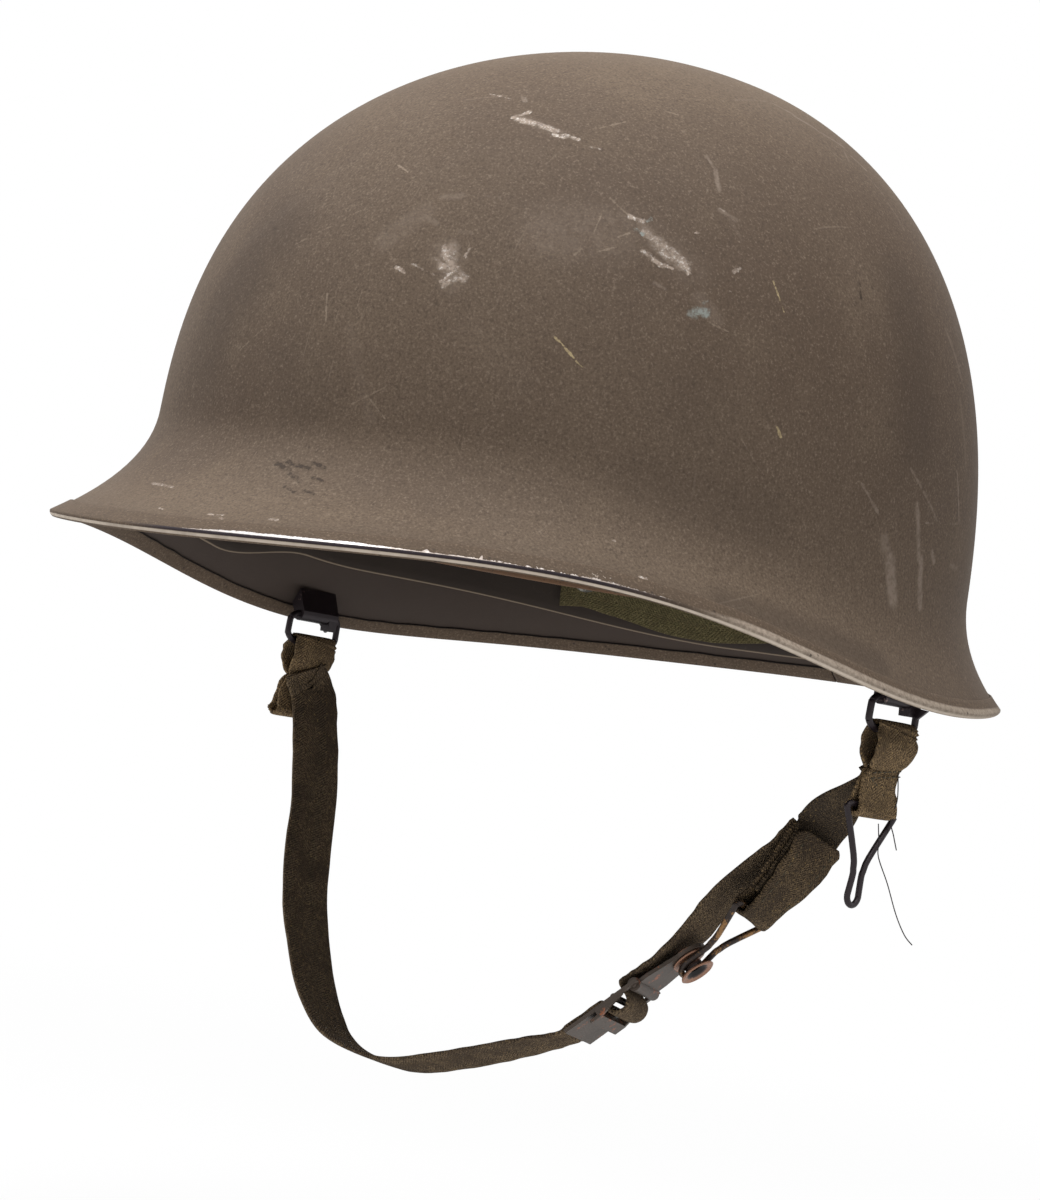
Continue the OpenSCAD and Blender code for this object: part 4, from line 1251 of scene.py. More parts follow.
class Paints:
    """The finishes of the whole part, each built once."""

    def __init__(self) -> None:
        """Builds every finish."""
        self.shell = ShellPaint().build()
        self.rim = RimPaint().build()
        self.liner = LinerPaint().build()
        # One cotton web in lit and shaded copies: the strap is darker as painted shade where the head shades
        # it, and the chin part and the anchor tab are lighter as painted light.
        self.strap, self.sleeve, self.chin, self.tab, self.cradle = (
            Webbing(*web).build()
            for web in (
                ("strap web in painted shade", (122, 105, 82), (44, 37, 33), (50, 43, 38), (160, 134, 88)),
                ("sleeve web", (138, 117, 90), (50, 42, 36), (58, 49, 42), (172, 144, 94)),
                ("chin web in painted light", (156, 134, 106), (62, 53, 45), (72, 61, 52), (184, 158, 112)),
                ("anchor web", (178, 150, 112), (78, 65, 52), (92, 77, 60), (200, 168, 112)),
                ("suspension web", (126, 116, 82), (72, 66, 46), (86, 78, 56), (150, 138, 100), 1.1, 5.0),
            )
        )
        self.leather = Leather().build()
        self.wire = Metal("dark wire", (46, 36, 40), (146, 122, 116), wear=0.34).build()
        self.brassy = Metal("brassy wire", (56, 44, 38), (146, 112, 76), wear=0.52).build()
        stud = stud_frame()
        # The stud's hollow is painted: a dark middle on its flat flange stands in for the shade in the hole.
        well = (tuple(stud.point(0, 0, 4.6)), tuple(stud.point(0, 0, 9)), 2.9)
        self.stud = Metal(
            "brown stud metal", (84, 66, 60), (158, 122, 104), wear=0.42, hollow=well
        ).build()
        self.plate = Metal(
            "grey plate metal", (88, 75, 65), (156, 100, 74), wear=0.42, rough=0.55, metal=0.1
        ).build()
        self.steel = Metal(
            "dull plated steel", (92, 88, 80), (150, 146, 138), wear=0.45, rough=0.4, metal=0.6
        ).build()
        self.thread = Thread("olive thread", (88, 78, 56)).build()
        self.dark_thread = Thread("dark thread", (40, 36, 38)).build()


class StitchRows:
    """Sewing made by geometry nodes: short bars of thread set along lines."""

    SIZES = ("Pitch", "Length", "Thread")

    def __init__(self) -> None:
        """Builds the shared node group."""
        self.tree = bpy.data.node_groups.new("stitch row", "GeometryNodeTree")
        face = self.tree.interface
        face.new_socket("Geometry", in_out="OUTPUT", socket_type="NodeSocketGeometry")
        face.new_socket("Geometry", in_out="INPUT", socket_type="NodeSocketGeometry")
        kinds = {**dict.fromkeys(self.SIZES, "NodeSocketFloat"), "Finish": "NodeSocketMaterial"}
        self.inputs = {
            name: face.new_socket(name, in_out="INPUT", socket_type=kind) for name, kind in kinds.items()
        }
        n = Nodes(self.tree)
        given = n.node("NodeGroupInput").outputs
        curve = n.node("GeometryNodeMeshToCurve", None, {0: given["Geometry"]})
        along = {"Curve": curve.outputs[0], "Length": given["Pitch"]}
        spread = n.node("GeometryNodeCurveToPoints", {"mode": "LENGTH"}, along)
        bar = n.node("GeometryNodeMeshUVSphere", None, {"Segments": 8, "Rings": 6, "Radius": 0.5})
        sizes = {0: given["Thread"], 1: given["Thread"], 2: given["Length"]}
        size = n.node("ShaderNodeCombineXYZ", None, sizes)
        put = n.node("GeometryNodeInstanceOnPoints", None, {
            "Points": spread.outputs["Points"],
            "Instance": bar.outputs["Mesh"],
            "Rotation": spread.outputs["Rotation"],
            "Scale": size.outputs[0],
        })
        real = n.node("GeometryNodeRealizeInstances", None, {0: put.outputs[0]})
        paint = n.node(
            "GeometryNodeSetMaterial", None, {"Geometry": real.outputs[0], "Material": given["Finish"]}
        )
        n.node("NodeGroupOutput", None, {0: paint.outputs[0]})

    def build(
        self, name: str, lines: Sequence[np.ndarray], material: bpy.types.Material, pitch: float = 3.0,
        length: float = 2.2, thread: float = 0.45,
    ) -> bpy.types.Object:
        """Sews along lines.

        Args:
            name: The piece's name.
            lines: The lines, in millimetres.
            material: The thread's finish.
            pitch: From one stitch to the next.
            length: A stitch's length.
            thread: The thread's thickness.

        Returns:
            The stitches as one mesh object.
        """
        points, edges = [], []
        for line in lines:
            first = len(points)
            points += (np.asarray(line) * MM).tolist()
            edges += [(first + i, first + i + 1) for i in range(len(line) - 1)]
        mesh = bpy.data.meshes.new(name + " line")
        mesh.from_pydata(points, edges, [])
        holder = linked(name + " line", mesh)
        modifier = holder.modifiers.new("sew", "NODES")
        modifier.node_group = self.tree
        sizes = zip(self.SIZES, (pitch * MM, length * MM, thread * MM))
        for key, value in {**dict(sizes), "Finish": material}.items():
            modifier[self.inputs[key].identifier] = value
        evaluated = holder.evaluated_get(bpy.context.evaluated_depsgraph_get())
        made = bpy.data.meshes.new_from_object(evaluated)
        made.polygons.foreach_set("use_smooth", [True] * len(made.polygons))
        bpy.data.objects.remove(holder)
        return linked(name, made)


@dataclass
class Shell:
    """The pressed steel shell with the strip crimped over its rim."""

    paints: Paints
    thick: float = 1.1
    gap: float = 0.08
    strip: float = 0.45
    leg: float = 3.4
    seam: float = 0.3
    columns: int = 720
    leg_wave: float = 0.14
    face_wave: float = 0.05
    lip_start: float = 0.05
    lip_drop: float = 0.62

    def build(self) -> None:
        """Makes the shell and its strip."""
        shell = DOME.wall("shell_wall", 0, self.thick, 0.0, self.paints.shell)
        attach(shell, "shell")
        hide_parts("steel_shell")
        strip = self.rim()
        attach(strip, "shell")
        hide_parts("rim_strip")
        for piece in (shell, strip):
            LOG.info("%s built", piece.name)

    def rim(self) -> bpy.types.Object:
        """Makes the crimped strip, open at its butt seam at the back.

        Returns:
            The strip. Its UV map runs round it, and across from its outer edge over the rim to its inner one.
        """
        count = self.columns
        turn = 180 + self.seam / 2 + np.arange(count + 1) * (360 - self.seam) / count
        wave = wobble(count + 1, 5, 160)
        top = DOME.row(turn, self.leg + self.leg_wave * wave)
        zero = np.zeros_like(turn)
        out = DOME.normal(turn, zero)
        down = -unit(DOME.point(turn, zero + 0.01) - DOME.point(turn, zero))
        centre = DOME.inside(turn, zero, self.thick / 2)
        wide = self.thick / 2 + self.gap + self.strip
        inner = self.thick + self.gap
        proud = -(self.gap + self.strip) - self.face_wave * wave
        profile = [DOME.inside(turn, top, -self.gap - self.strip * 0.6)]
        profile += [DOME.inside(turn, top * k, proud) for k in (0.94, 0.66, 0.33)]
        profile += [
            centre + wide * math.cos(f) * out + (self.lip_start + self.lip_drop * math.sin(f)) * down
            for f in np.linspace(0.15, math.pi - 0.15, 9)
        ]
        profile += [DOME.inside(turn, top * k, inner + self.strip) for k in (0.33, 0.66, 0.94)]
        profile += [DOME.inside(turn, top, inner + self.strip * 0.6)]
        profile += [DOME.inside(turn, top * k, inner) for k in (0.98, 0.5)]
        profile += [centre + (self.thick / 2 + self.gap) * s * out + self.gap * down for s in (-1, 1)]
        profile += [DOME.inside(turn, top * k, -self.gap) for k in (0.5, 0.98)]
        points, faces = skin(np.stack(profile, 1))
        across = [0.02, 0.06, 0.16, 0.26, *np.linspace(0.32, 0.68, 9), 0.74, 0.84, 0.94, 0.98] + [1.0] * 6
        uv = strip_uv((turn - 360) / 360, np.array(across)[None])
        return solid("rim_band", points, faces, self.paints.rim, uv)


@dataclass
class Liner:
    """The inner liner and the head suspension that hangs in it."""

    paints: Paints
    stitches: StitchRows
    depth: float = 2.8
    thick: float = 1.9
    edge_rise: float = 18.0
    edge_dip: float = 8.0
    edge_front: float = 6.8
    edge_rear: float = 3.0
    rivet_z: float = 62.0
    band_w: float = 78.0
    band_l: float = 97.0
    band_z: float = 22.0
    band_h: float = 26.0
    band_back: float = 4.0
    web: float = 1.2
    arm_w: float = 19.0
    lace_r: float = 24.0
    lace_z: float = 124.0
    lace_twists: int = 26
    stand_off: float = 1.15
    sweat_t: float = 1.5
    sweat_below: float = 2.0
    sweat_above: float = 30.0
    sweat_gap: float = 3.0
    sweat_bulge: float = 0.5
    rivet_turns: tuple[int, ...] = (30, 90, 150, 210, 270, 330)
    knee_gap: float = 0.3
    seat_half: float = 12.5
    seat_dip: float = 0.8
    flat_half: float = 9.5
    arm_end: float = 2.4
    arm_bow: float = 3.0
    nape_z: float = 26.0
    nape_half: int = 42
    nape_step: float = 38.0
    nape_wave: float = 8.0
    nape_sink: float = 2.4
    nape_gap: float = 0.4
    strand: float = 0.8
    strand_swing: float = 0.75

    def __post_init__(self) -> None:
        """Works out the places that the pieces share."""
        self.band_top = self.band_z + self.band_h
        self.lace_mid = np.array([0, (self.band_back + DOME.crown_back) / 2, self.lace_z])

    def build(self) -> None:
        """Makes the liner and every piece of its suspension."""
        inner = self.depth + self.thick
        wall = DOME.wall("liner_wall", self.depth, inner, self.edge(), self.paints.liner, rows=60)
        self.dress(wall, "liner_paint", "liner_shell")
        self.band()
        self.arms()
        self.nape()
        self.lace()

    def edge(self) -> np.ndarray:
        """Works out how high the liner's edge lies above the rim.

        Returns:
            The height at each degree round the dome.
        """
        turn = np.arange(360.0)
        ends = np.abs(np.cos(np.radians(turn))) ** 3
        away = np.minimum(turn, 360 - turn)
        past = np.clip(np.where(away < 99, (93 - away) / 19, (away - 105) / 60), 0, 1)
        ends = ends * np.where(away < 90, self.edge_front, self.edge_rear)
        return self.edge_rise - self.edge_dip * past**2 * (3 - 2 * past) - ends

    def dress(self, piece: bpy.types.Object, slot: str, *nodes: str) -> None:
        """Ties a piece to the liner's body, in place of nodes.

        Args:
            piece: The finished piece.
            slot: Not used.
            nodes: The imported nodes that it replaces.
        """
        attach(piece, "liner")
        if nodes:
            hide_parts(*nodes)
        LOG.info("%s built", piece.name)

    def around(self, a: np.ndarray, inset: float, z: float) -> np.ndarray:
        """Lays points round the head.

        Args:
            a: Angles round the head, in radians.
            inset: How far they lie inside the head band's outer face.
            z: Their height.

        Returns:
            The points.
        """
        w, l = self.band_w - inset, self.band_l - inset
        return np.stack([w * np.sin(a), self.band_back - l * np.cos(a), np.full_like(a, z)], -1)

    def ring(
        self, name: str, inset: float, low: float, high: float, thick: float, material: bpy.types.Material,
        gap: float = 0.0, bulge: float = 0.0,
    ) -> bpy.types.Object:
        """Makes an upright band round the head.

        Args:
            name: The piece's name.
            inset: How far its outer face lies inside the head band's.
            low: Its lower edge.
            high: Its upper edge.
            thick: Its thickness.
            material: Its finish.
            gap: Half of the gap at the back, in degrees.
            bulge: How far its middle curves inwards.

        Returns:
            The new object.
        """
        count = 240
        a = np.radians(np.arange(count) * 360 / count)
        if gap:
            a = np.radians(180 + gap + np.arange(count + 1) * (360 - 2 * gap) / count)
        middle = inset + thick / 2
        spot = self.around(a, middle, (low + high) / 2)
        w, l = self.band_w - middle, self.band_l - middle
        out = unit(np.stack([np.sin(a) / w, -np.cos(a) / l, 0 * a], -1))
        flat = outline(high - low, thick, 28)
        inward = bulge * (1 - (2 * flat[:, 0] / (high - low)) ** 2)
        sections = spot[:, None] + np.array([0.0, 0.0, 1.0]) * flat[None, :, 0, None]
        sections = sections + out[:, None] * (flat[None, :, 1] - inward[None])[..., None]
        far = run_lengths(spot if gap else np.concatenate([spot, spot[:1]]))
        points, faces = skin(sections, not gap)
        uv = strip_uv(far[: len(a)], flat[None, :, 0])
        return solid(name, points, faces, material, uv, 0.0 if gap else far[-1])

    def band(self) -> None:
        """Makes the head band, the sweatband and their sewing."""
        low = self.band_z
        band = self.ring("head_band_web", 0, low, self.band_top, self.web, self.paints.cradle)
        self.dress(band, "suspension_web", "head_band")
        sweat = self.ring(
            "sweatband_leather", self.web + 0.2, low - self.sweat_below, low + self.sweat_above, self.sweat_t,
            self.paints.leather, gap=self.sweat_gap, bulge=self.sweat_bulge,
        )
        self.dress(sweat, "leather", "sweatband")
        a = np.radians(184 + np.arange(200) * 352 / 199)
        lines = [self.around(a, self.web + 1.75, z) for z in (low + 1.2, low + 26.5)]
        sewn = self.stitches.build(
            "sweatband_stitches", lines, self.paints.thread, pitch=3.4, length=2.4, thread=0.5
        )
        self.dress(sewn, "suspension_web")

    def wall_frame(self, degrees: float, z: float) -> Frame:
        """Finds a place on the liner's inner face.

        Args:
            degrees: Its angle round the dome.
            z: Its height.

        Returns:
            Its frame: width round the dome, length up, outward.
        """
        angle = np.array(degrees)
        u = DOME.row(angle, z - DOME.rim(np.radians(angle)))
        n = DOME.normal(angle, u)
        width = unit(np.array([-n[1], n[0], 0]))
        return Frame(DOME.inside(angle, u, self.depth + self.thick), width, unit(np.cross(n, width)), n)

    def below(self, place: Frame) -> tuple[np.ndarray, np.ndarray]:
        """Finds the head band's point straight inside a place on the liner.

        Args:
            place: The place.

        Returns:
            The point and the band's outward direction there, both seen from above.
        """
        p = place.at[:2] - [0, self.band_back]
        d = -unit(place.out[:2])
        s = np.array([1 / self.band_w**2, 1 / self.band_l**2])
        half, a = (p * d * s).sum(), (d * d * s).sum()
        hit = p + (-half - math.sqrt(half * half - a * ((p * p * s).sum() - 1))) / a * d
        return hit + [0, self.band_back], unit(hit * s)

    def arms(self) -> None:
        """Makes the six cradle arms, each from the head band over its rivet to the crown lace."""
        for number, degrees in enumerate(self.rivet_turns):
            f = self.wall_frame(degrees, self.rivet_z)
            n = -self.stand_off - self.web / 2
            hit, away = self.below(f)
            knee = np.array([*(hit + (self.web / 2 + self.knee_gap) * away), self.band_top])
            seat, brow = (
                f.point(0, end, n - self.seat_dip) for end in (-self.seat_half, self.seat_half)
            )
            a = math.radians(degrees)
            goal = self.lace_mid + (self.lace_r + self.arm_end) * np.array([math.sin(a), -math.cos(a), 0])
            low = np.array([-away[1], away[0], 0])
            rows = [(knee - [0, 0, self.band_h * 0.65], low), (knee - [0, 0, 2], low)]
            flat = [f.point(0, t, n) for t in (-self.flat_half, 0, self.flat_half)]
            wall = [knee * 0.75 + seat * 0.25, seat, *flat, brow]
            wall += [
                brow * (1 - k) + goal * k + [0, 0, self.arm_bow * math.sin(math.pi * k)]
                for k in (0.12, 0.4, 0.7, 1)
            ]
            rows += [(spot, f.width) for spot in wall]
            path = cut_corners(np.array(rows), 3)
            cloth = Web(self.arm_w, self.web, seed=number)
            piece = cloth.build("cradle_arm_%d" % number, path, self.paints.cradle)
            self.dress(piece, "suspension_web", *(["cradle_arms"] if number == 0 else []))

    def nape(self) -> None:
        """Makes the nape web, which waves between its studs."""
        rows = []
        for turn in range(-self.nape_half, self.nape_half + 1):
            f = self.wall_frame(180.0 + turn, self.nape_z)
            free = abs(math.sin(math.pi * turn / self.nape_step))
            inward = self.nape_gap + self.web / 2 + self.nape_wave * free * free
            rows.append((f.point(0, -self.nape_sink * free, -inward), f.length))
        cloth = Web(self.arm_w, self.web, seed=9)
        piece = cloth.build("nape_web_cloth", np.array(rows), self.paints.cradle)
        self.dress(piece, "suspension_web", "nape_web")

    def lace(self) -> None:
        """Makes the crown lace, two strands twisted round each other."""
        f = np.linspace(0, 2 * np.pi, 240, endpoint=False)
        for number, phase in enumerate((0, np.pi)):
            twist = f * self.lace_twists + phase
            swing = self.strand_swing * np.stack([np.cos(twist), np.sin(twist)], -1)
            radius = self.lace_r + swing[:, 0]
            path = self.lace_mid + np.stack([radius * np.cos(f), radius * np.sin(f), swing[:, 1]], -1)
            name = "lace_strand_%d" % number
            strand = tube(name, path, self.strand, self.paints.cradle, sides=8, ring=True)
            self.dress(strand, "suspension_web", *(["crown_lace"] if number == 0 else []))


@dataclass
class ChinStrap:
    """The wire loops, anchor webs, both strap halves, the clips and the loose sewing thread."""

    paints: Paints
    stitches: StitchRows
    strap_w: float = 15.6
    strap_t: float = 1.4
    loop_w: float = 18.5
    loop_h: float = 8.4
    loop_wire: float = 1.9
    loop_turn: float = 98.0
    loop_in: float = 9.2
    loop_up: float = 0.4
    loop_corner: float = 2.0
    loop_foot: float = 2.6
    clip_wire: float = 1.7
    clip_w: float = 19.6
    clip_len: float = 21.0
    clip_bend: float = 1.2
    spare_nose: float = 2.3
    spare_tilt: float = 5.0
    spare_reach: float = 1.08
    stud_d: float = 5.0
    sleeve_len: float = 26.0
    tail_len: float = 31.0
    crease_drop: float = 11.5
    hem_drop: float = 20.5
    lean: float = 0.17
    soft: float = 0.3
    sheet: float = 1.0
    plate_len: float = 14.5
    buckle_len: float = 23.5
    bar: float = 1.9
    bow: float = 4.5
    twist: float = -23.0
    tilt: Vec = (0.0, -0.93, -0.36)
    loose_thread: float = 0.16

    def __post_init__(self) -> None:
        """Works out the places that the pieces share."""
        rim = DOME.point(np.array(self.loop_turn), np.array(0.0))
        self.hinge = rim + [-self.loop_in, 0, self.loop_up]
        self.low_bar = self.hinge - [0, 0, self.loop_h]
        inward = self.strap_t * 1.5 + self.soft
        self.crease = self.low_bar - [inward, self.lean * self.crease_drop, self.crease_drop]
        self.hem = self.low_bar - [0, self.lean * self.hem_drop, self.hem_drop]
        self.plate = stud_frame()
        self.waist = self.sheet / 2 + 0.9 + 1.35
        clip = Frame.facing(self.plate.at, (-0.534, -0.346, -0.771), (0.809, 0.042, -0.58))
        seat = clip.at + self.waist * (self.plate.out - clip.out)
        self.clip = Frame(seat, clip.width, clip.length, clip.out)

    def dress(self, piece: bpy.types.Object, body: str, slot: str, *nodes: str) -> None:
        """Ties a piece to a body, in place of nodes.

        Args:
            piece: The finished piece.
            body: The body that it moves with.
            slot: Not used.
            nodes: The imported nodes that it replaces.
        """
        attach(piece, body)
        if nodes:
            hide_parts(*nodes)
        LOG.info("%s built", piece.name)

    def build(self) -> None:
        """Makes every piece of the strap."""
        for side, sign in (("left", 1), ("right", -1)):
            self.loop(side, sign)
            self.anchor(side, sign)
        self.clips()
        self.strap()
        self.sleeve()
        self.right_half()
        self.threads()

    def loop(self, side: str, sign: int) -> None:
        """Makes one wire loop, rounder at its lower corners.

        Args:
            side: Left or right, as the wearer sees it.
            sign: 1 on the left and -1 on the right.
        """
        w, h = self.loop_w / 2, self.loop_h
        flat = [(0.0, 0.0)]
        for y, z, radius, first in ((w, 0, self.loop_corner, 90), (w, -h, self.loop_foot, 0)):
            cy, cz = y - radius, z + (radius if z else -radius)
            turns = np.radians(np.linspace(first, first - 90, 9))
            flat += [(cy + radius * math.cos(f), cz + radius * math.sin(f)) for f in turns]
        flat.append((0.0, -h))
        flat = np.array(flat + [(-y, z) for y, z in flat[-2:0:-1]])
        bow = np.sin(np.clip(-flat[:, 1] / h, 0, 1) * np.pi) ** 0.8 * 1.5 * (flat[:, 0] < -w * 0.75)
        path = self.hinge + np.stack([0 * flat[:, 0], flat[:, 0] - bow, flat[:, 1]], -1)
        path = catmull(np.concatenate([path, path[:1]]), 3)[:-1]
        path[:, 0] *= sign
        wire = tube("wire_loop_" + side, path, self.loop_wire / 2, self.paints.wire, sides=16, ring=True)
        self.dress(wire, "bale_" + side, "dark_wire", "bale_" + side)

    def anchor(self, side: str, sign: int) -> None:
        """Makes one anchor web, a fat fold over the loop, gathered where it is sewn, with a tab below.

        Args:
            side: Left or right, as the wearer sees it.
            sign: 1 on the left and -1 on the right.
        """
        turn = np.radians(np.arange(0, 181, 15))
        upper, lower = ((wire / 2 + 0.25 + self.strap_t / 2) for wire in (self.loop_wire, self.clip_wire))
        tight, top, bottom = self.strap_t * 0.52, self.low_bar[2], self.hem[2]
        seam = self.crease[2]
        ring = [(upper * math.cos(f), top + upper * math.sin(f)) for f in turn]
        ring += [(-2.5, top - 3), (-2.1, top - 6.5), (-tight, seam + 1.4), (-tight, seam - 1)]
        ring += [(-tight - 0.15, seam - 5)]
        ring += [(lower * math.cos(f), bottom + lower * math.sin(f)) for f in turn + math.pi]
        ring += [(tight + 0.3, seam - 5), (tight, seam - 1), (tight, seam + 1.4)]
        ring += [(2.4, top - 6.5), (2.8, top - 3)]
        ring = np.array(ring)
        ahead = self.low_bar[1] + self.lean * (ring[:, 1] - top)
        spots = np.stack([self.low_bar[0] + ring[:, 0], ahead, ring[:, 1]], -1)
        hints = np.tile([0.0, -1.0, 0.0], (len(ring), 1))
        rows = np.stack([spots, hints], 1)
        closed = catmull(np.concatenate([rows, rows[:1]]), 5)[:-1]
        drop = closed[:, 0, 2]
        gather = np.exp(-(((drop - seam - 0.3) / 2.6) ** 2))
        widths = 1.0 + 0.04 * np.exp(-(((drop - top + 3) / 3.0) ** 2)) - 0.27 * gather
        closed[:, 0, 1] += gather * 0.8
        closed[:, :, 0] *= sign
        cloth = Web(self.strap_w, self.strap_t * 0.96, seed=21, ruffle=0.5)
        web = cloth.build("anchor_cloth_" + side, closed, self.paints.tab, True, widths)
        self.dress(web, "anchor_" + side, "strap_web", "anchor_web_" + side)
        sewn = self.stitches.build(
            "anchor_stitches_" + side, self.anchor_seams(sign), self.paints.thread,
            pitch=1.9, length=1.6, thread=0.4,
        )
        self.dress(sewn, "anchor_" + side, "strap_web")

    def anchor_seams(self, sign: int) -> list[np.ndarray]:
        """Draws the sewing of an anchor web.

        Args:
            sign: 1 on the left and -1 on the right.

        Returns:
            The seams' lines.
        """
        seam, mid, face = self.crease[2], self.crease[1] + 0.8, self.strap_t + 0.05
        lines = [
            np.array([(self.low_bar[0] + out, mid + y, z + 0.12 * y) for y in np.linspace(-5.2, 5.2, 12)])
            for out in (face, -face)
            for z in (seam + 0.9, seam - 0.5)
        ]
        hem = [(0, -5.0, -1.6), (0, -2.4, -3.4), (0, -2.2, -6.4), (0, 3.4, -6.9)]
        start = self.crease * [0, 1, 1] + [self.low_bar[0] + self.strap_t + 0.1, 0, 0]
        lines.append(catmull(start + np.array(hem), 5))
        return [line * [sign, 1, 1] for line in lines]

    def clip_path(self, nose: float) -> np.ndarray:
        """Draws a wire clip in its own width and length.

        Args:
            nose: The radius of its nose.

        Returns:
            Its line, closed at its base.
        """
        half, bend = self.clip_w / 2, self.clip_bend
        neck = np.array([max(1.8, nose * 0.7), self.clip_len - nose - 3])
        right = [(0.0, 0.0), (half / 2, 0.0)]
        turns = np.radians(np.linspace(-90, 10, 7))
        right += [(half - bend + bend * math.cos(f), bend + bend * math.sin(f)) for f in turns]
        right += [tuple(neck + step) for step in ([1.5, -4.2], [0.35, -0.9], [0.05, 0.6])]
        turns = np.radians(np.linspace(-8, 90, 7))
        right += [(nose * math.cos(f), self.clip_len + nose * math.sin(f)) for f in turns]
        right = np.array(right)
        both = np.concatenate([right, right[-2:0:-1] * [-1, 1]])
        return catmull(np.concatenate([both, both[:1]]), 3)[:-1]

    def clips(self) -> None:
        """Makes the spare clip in the left anchor's hem and the closing clip in the stud's waist."""
        flat = self.clip_path(self.spare_nose)
        tilt, reach = math.radians(self.spare_tilt), self.spare_reach
        ahead = flat[:, 0] * math.cos(tilt) - flat[:, 1] * reach * math.sin(tilt)
        down = flat[:, 1] * reach * math.cos(tilt) + flat[:, 0] * math.sin(tilt)
        path = self.hem + np.stack([0 * down, ahead, -down], -1)
        spare = tube("spare_clip_wire", path, self.clip_wire / 2, self.paints.wire, ring=True)
        self.dress(spare, "spare_clip", "dark_wire", "spare_clip")
        flat = self.clip_path(self.stud_d / 2 + self.clip_wire / 2 + 0.3)
        path = np.array([self.clip.point(w, t - self.clip_len, self.waist) for w, t in flat])
        lower = tube("closing_clip_wire", path, self.clip_wire / 2, self.paints.brassy, ring=True)
        self.dress(lower, "strap_left", "brassy_wire", "lower_clip")

    def bent(self, back: float, n: float, w: float = 0.0) -> tuple[np.ndarray, np.ndarray]:
        """Returns a row of the clip half, which bows towards the head and turns as it nears the anchor.

        Args:
            back: The distance above the clip's base bar.
            n: The distance outside the strap's middle.
            w: The distance across.

        Returns:
            The point and the width direction.
        """
        share = max(back, 0.0) / self.sleeve_len
        turn = math.radians(self.twist * share)
        across = self.clip.width * math.cos(turn) + self.clip.out * math.sin(turn)
        out = self.clip.out * math.cos(turn) - self.clip.width * math.sin(turn)
        base = self.clip.point(0, -self.clip_len - back, self.waist - self.bow * share**2)
        return base + w * across + n * out, across

    def strap(self) -> None:
        """Makes the clip half's strap, gathered where it is sewn to the anchor."""
        tilt = np.array(self.tilt)
        joined = self.bent(self.sleeve_len + 2, 0)
        middle = (self.crease + joined[0]) / 2 + [-1.6, -1.5, -0.4]
        rows = [(self.crease + [0.1, -1.2, 3.2], tilt), (self.crease, tilt), (middle, (tilt + joined[1]) / 2)]
        rows += [joined, *(self.bent(back, 0) for back in (self.sleeve_len - 6, 12, 5))]
        path = catmull(np.array(rows), 10)
        widths = 1 - 0.32 * np.exp(-((run_lengths(path[:, 0]) / 4.0) ** 2))
        cloth = Web(self.strap_w, self.strap_t, seed=31, ruffle=0.3)
        strap = cloth.build("left_strap_cloth", path, self.paints.strap, widths=widths)
        self.dress(strap, "strap_left", "strap_web", "strap_left")

    def sleeve(self) -> None:
        """Makes the sleeve folded round the clip's base, and its sewing."""
        layer = self.strap_t / 2 + self.soft + self.strap_t / 2
        bend = self.clip_wire / 2 + 0.2 + self.strap_t / 2
        steps = np.array([1.0, 0.85, 0.65, 0.45, 0.25]) * self.sleeve_len
        run = [(back, layer + 0.4 * back / self.sleeve_len) for back in steps] + [(3, bend)]
        run += [(-bend * math.sin(f), bend * math.cos(f)) for f in np.radians(np.linspace(0, 180, 9))]
        run += [(3, -bend)] + [(back, -layer) for back in steps[::-1]]
        fold = catmull(np.array([self.bent(back, n) for back, n in run]), 4)
        ends = np.minimum(run_lengths(fold[:, 0]), run_lengths(fold[::-1, 0])[::-1])
        far = 1 - ends / self.sleeve_len
        widths = 1.0 + 0.10 * np.exp(-(((far - 0.86) / 0.16) ** 2))
        widths = widths - 0.22 * np.clip((far - 0.95) / 0.05, 0, 1) - 0.05 * np.sin(far * 9)
        cloth = Web(self.strap_w, self.strap_t, seed=41, ruffle=0.5, ridge=0.9, sag=0.5)
        sleeve = cloth.build("sleeve_cloth", fold, self.paints.sleeve, widths=widths)
        self.dress(sleeve, "strap_left", "strap_web", "clip_sleeve")
        run = [(back, layer + 0.75 + 0.4 * back / self.sleeve_len) for back in np.linspace(24, 5, 12)]
        lines = [np.array([self.bent(back, n, w)[0] for back, n in run]) for w in (-5.6, 5.6)]
        sewn = self.stitches.build(
            "sleeve_stitches", lines, self.paints.thread, pitch=2.6, length=1.9, thread=0.42
        )
        self.dress(sewn, "strap_left", "strap_web")

    def on_plate(self, t: float, n: float) -> tuple[np.ndarray, np.ndarray]:
        """Returns a row of the buckle half on the plate's frame."""
        return self.plate.point(0, t, n), self.plate.width

    def on_clip(self, t: float, n: float) -> tuple[np.ndarray, np.ndarray]:
        """Returns a row of the buckle half on the clip's frame."""
        return self.clip.point(0, t, n), self.clip.width

    def under_chin(self) -> list[tuple[np.ndarray, np.ndarray]]:
        """Lists the buckle half's rows from the right anchor down and under the chin.

        Returns:
            The points and the width directions.
        """
        down = (
            (self.crease + [-0.4, -1.2, 3.2], self.tilt),
            (self.crease - [0.5, 0, 0], self.tilt),
            (self.crease + [-2.6, 1.9, -5], (0.05, -0.95, -0.28)),
            ((91, 9.5, -52), (0.1, -0.94, -0.1)),
            ((69, -6.9, -87), (0.15, -0.93, 0.12)),
        )
        across = (
            ((-38, -21, -114), (-0.1, -0.97, 0.25)),
            ((-12, -21.6, -120), (0, -0.98, 0.2)),
            ((12, -20.8, -114.8), (0.05, -0.98, 0.22)),
            ((31.5, -17.6, -107.6), (0.15, -0.95, 0.2)),
        )
        rows = [(np.array(p, float) * [-1, 1, 1], np.array(h, float) * [-1, 1, 1]) for p, h in down]
        return rows + [(np.array(p, float), np.array(h, float)) for p, h in across]

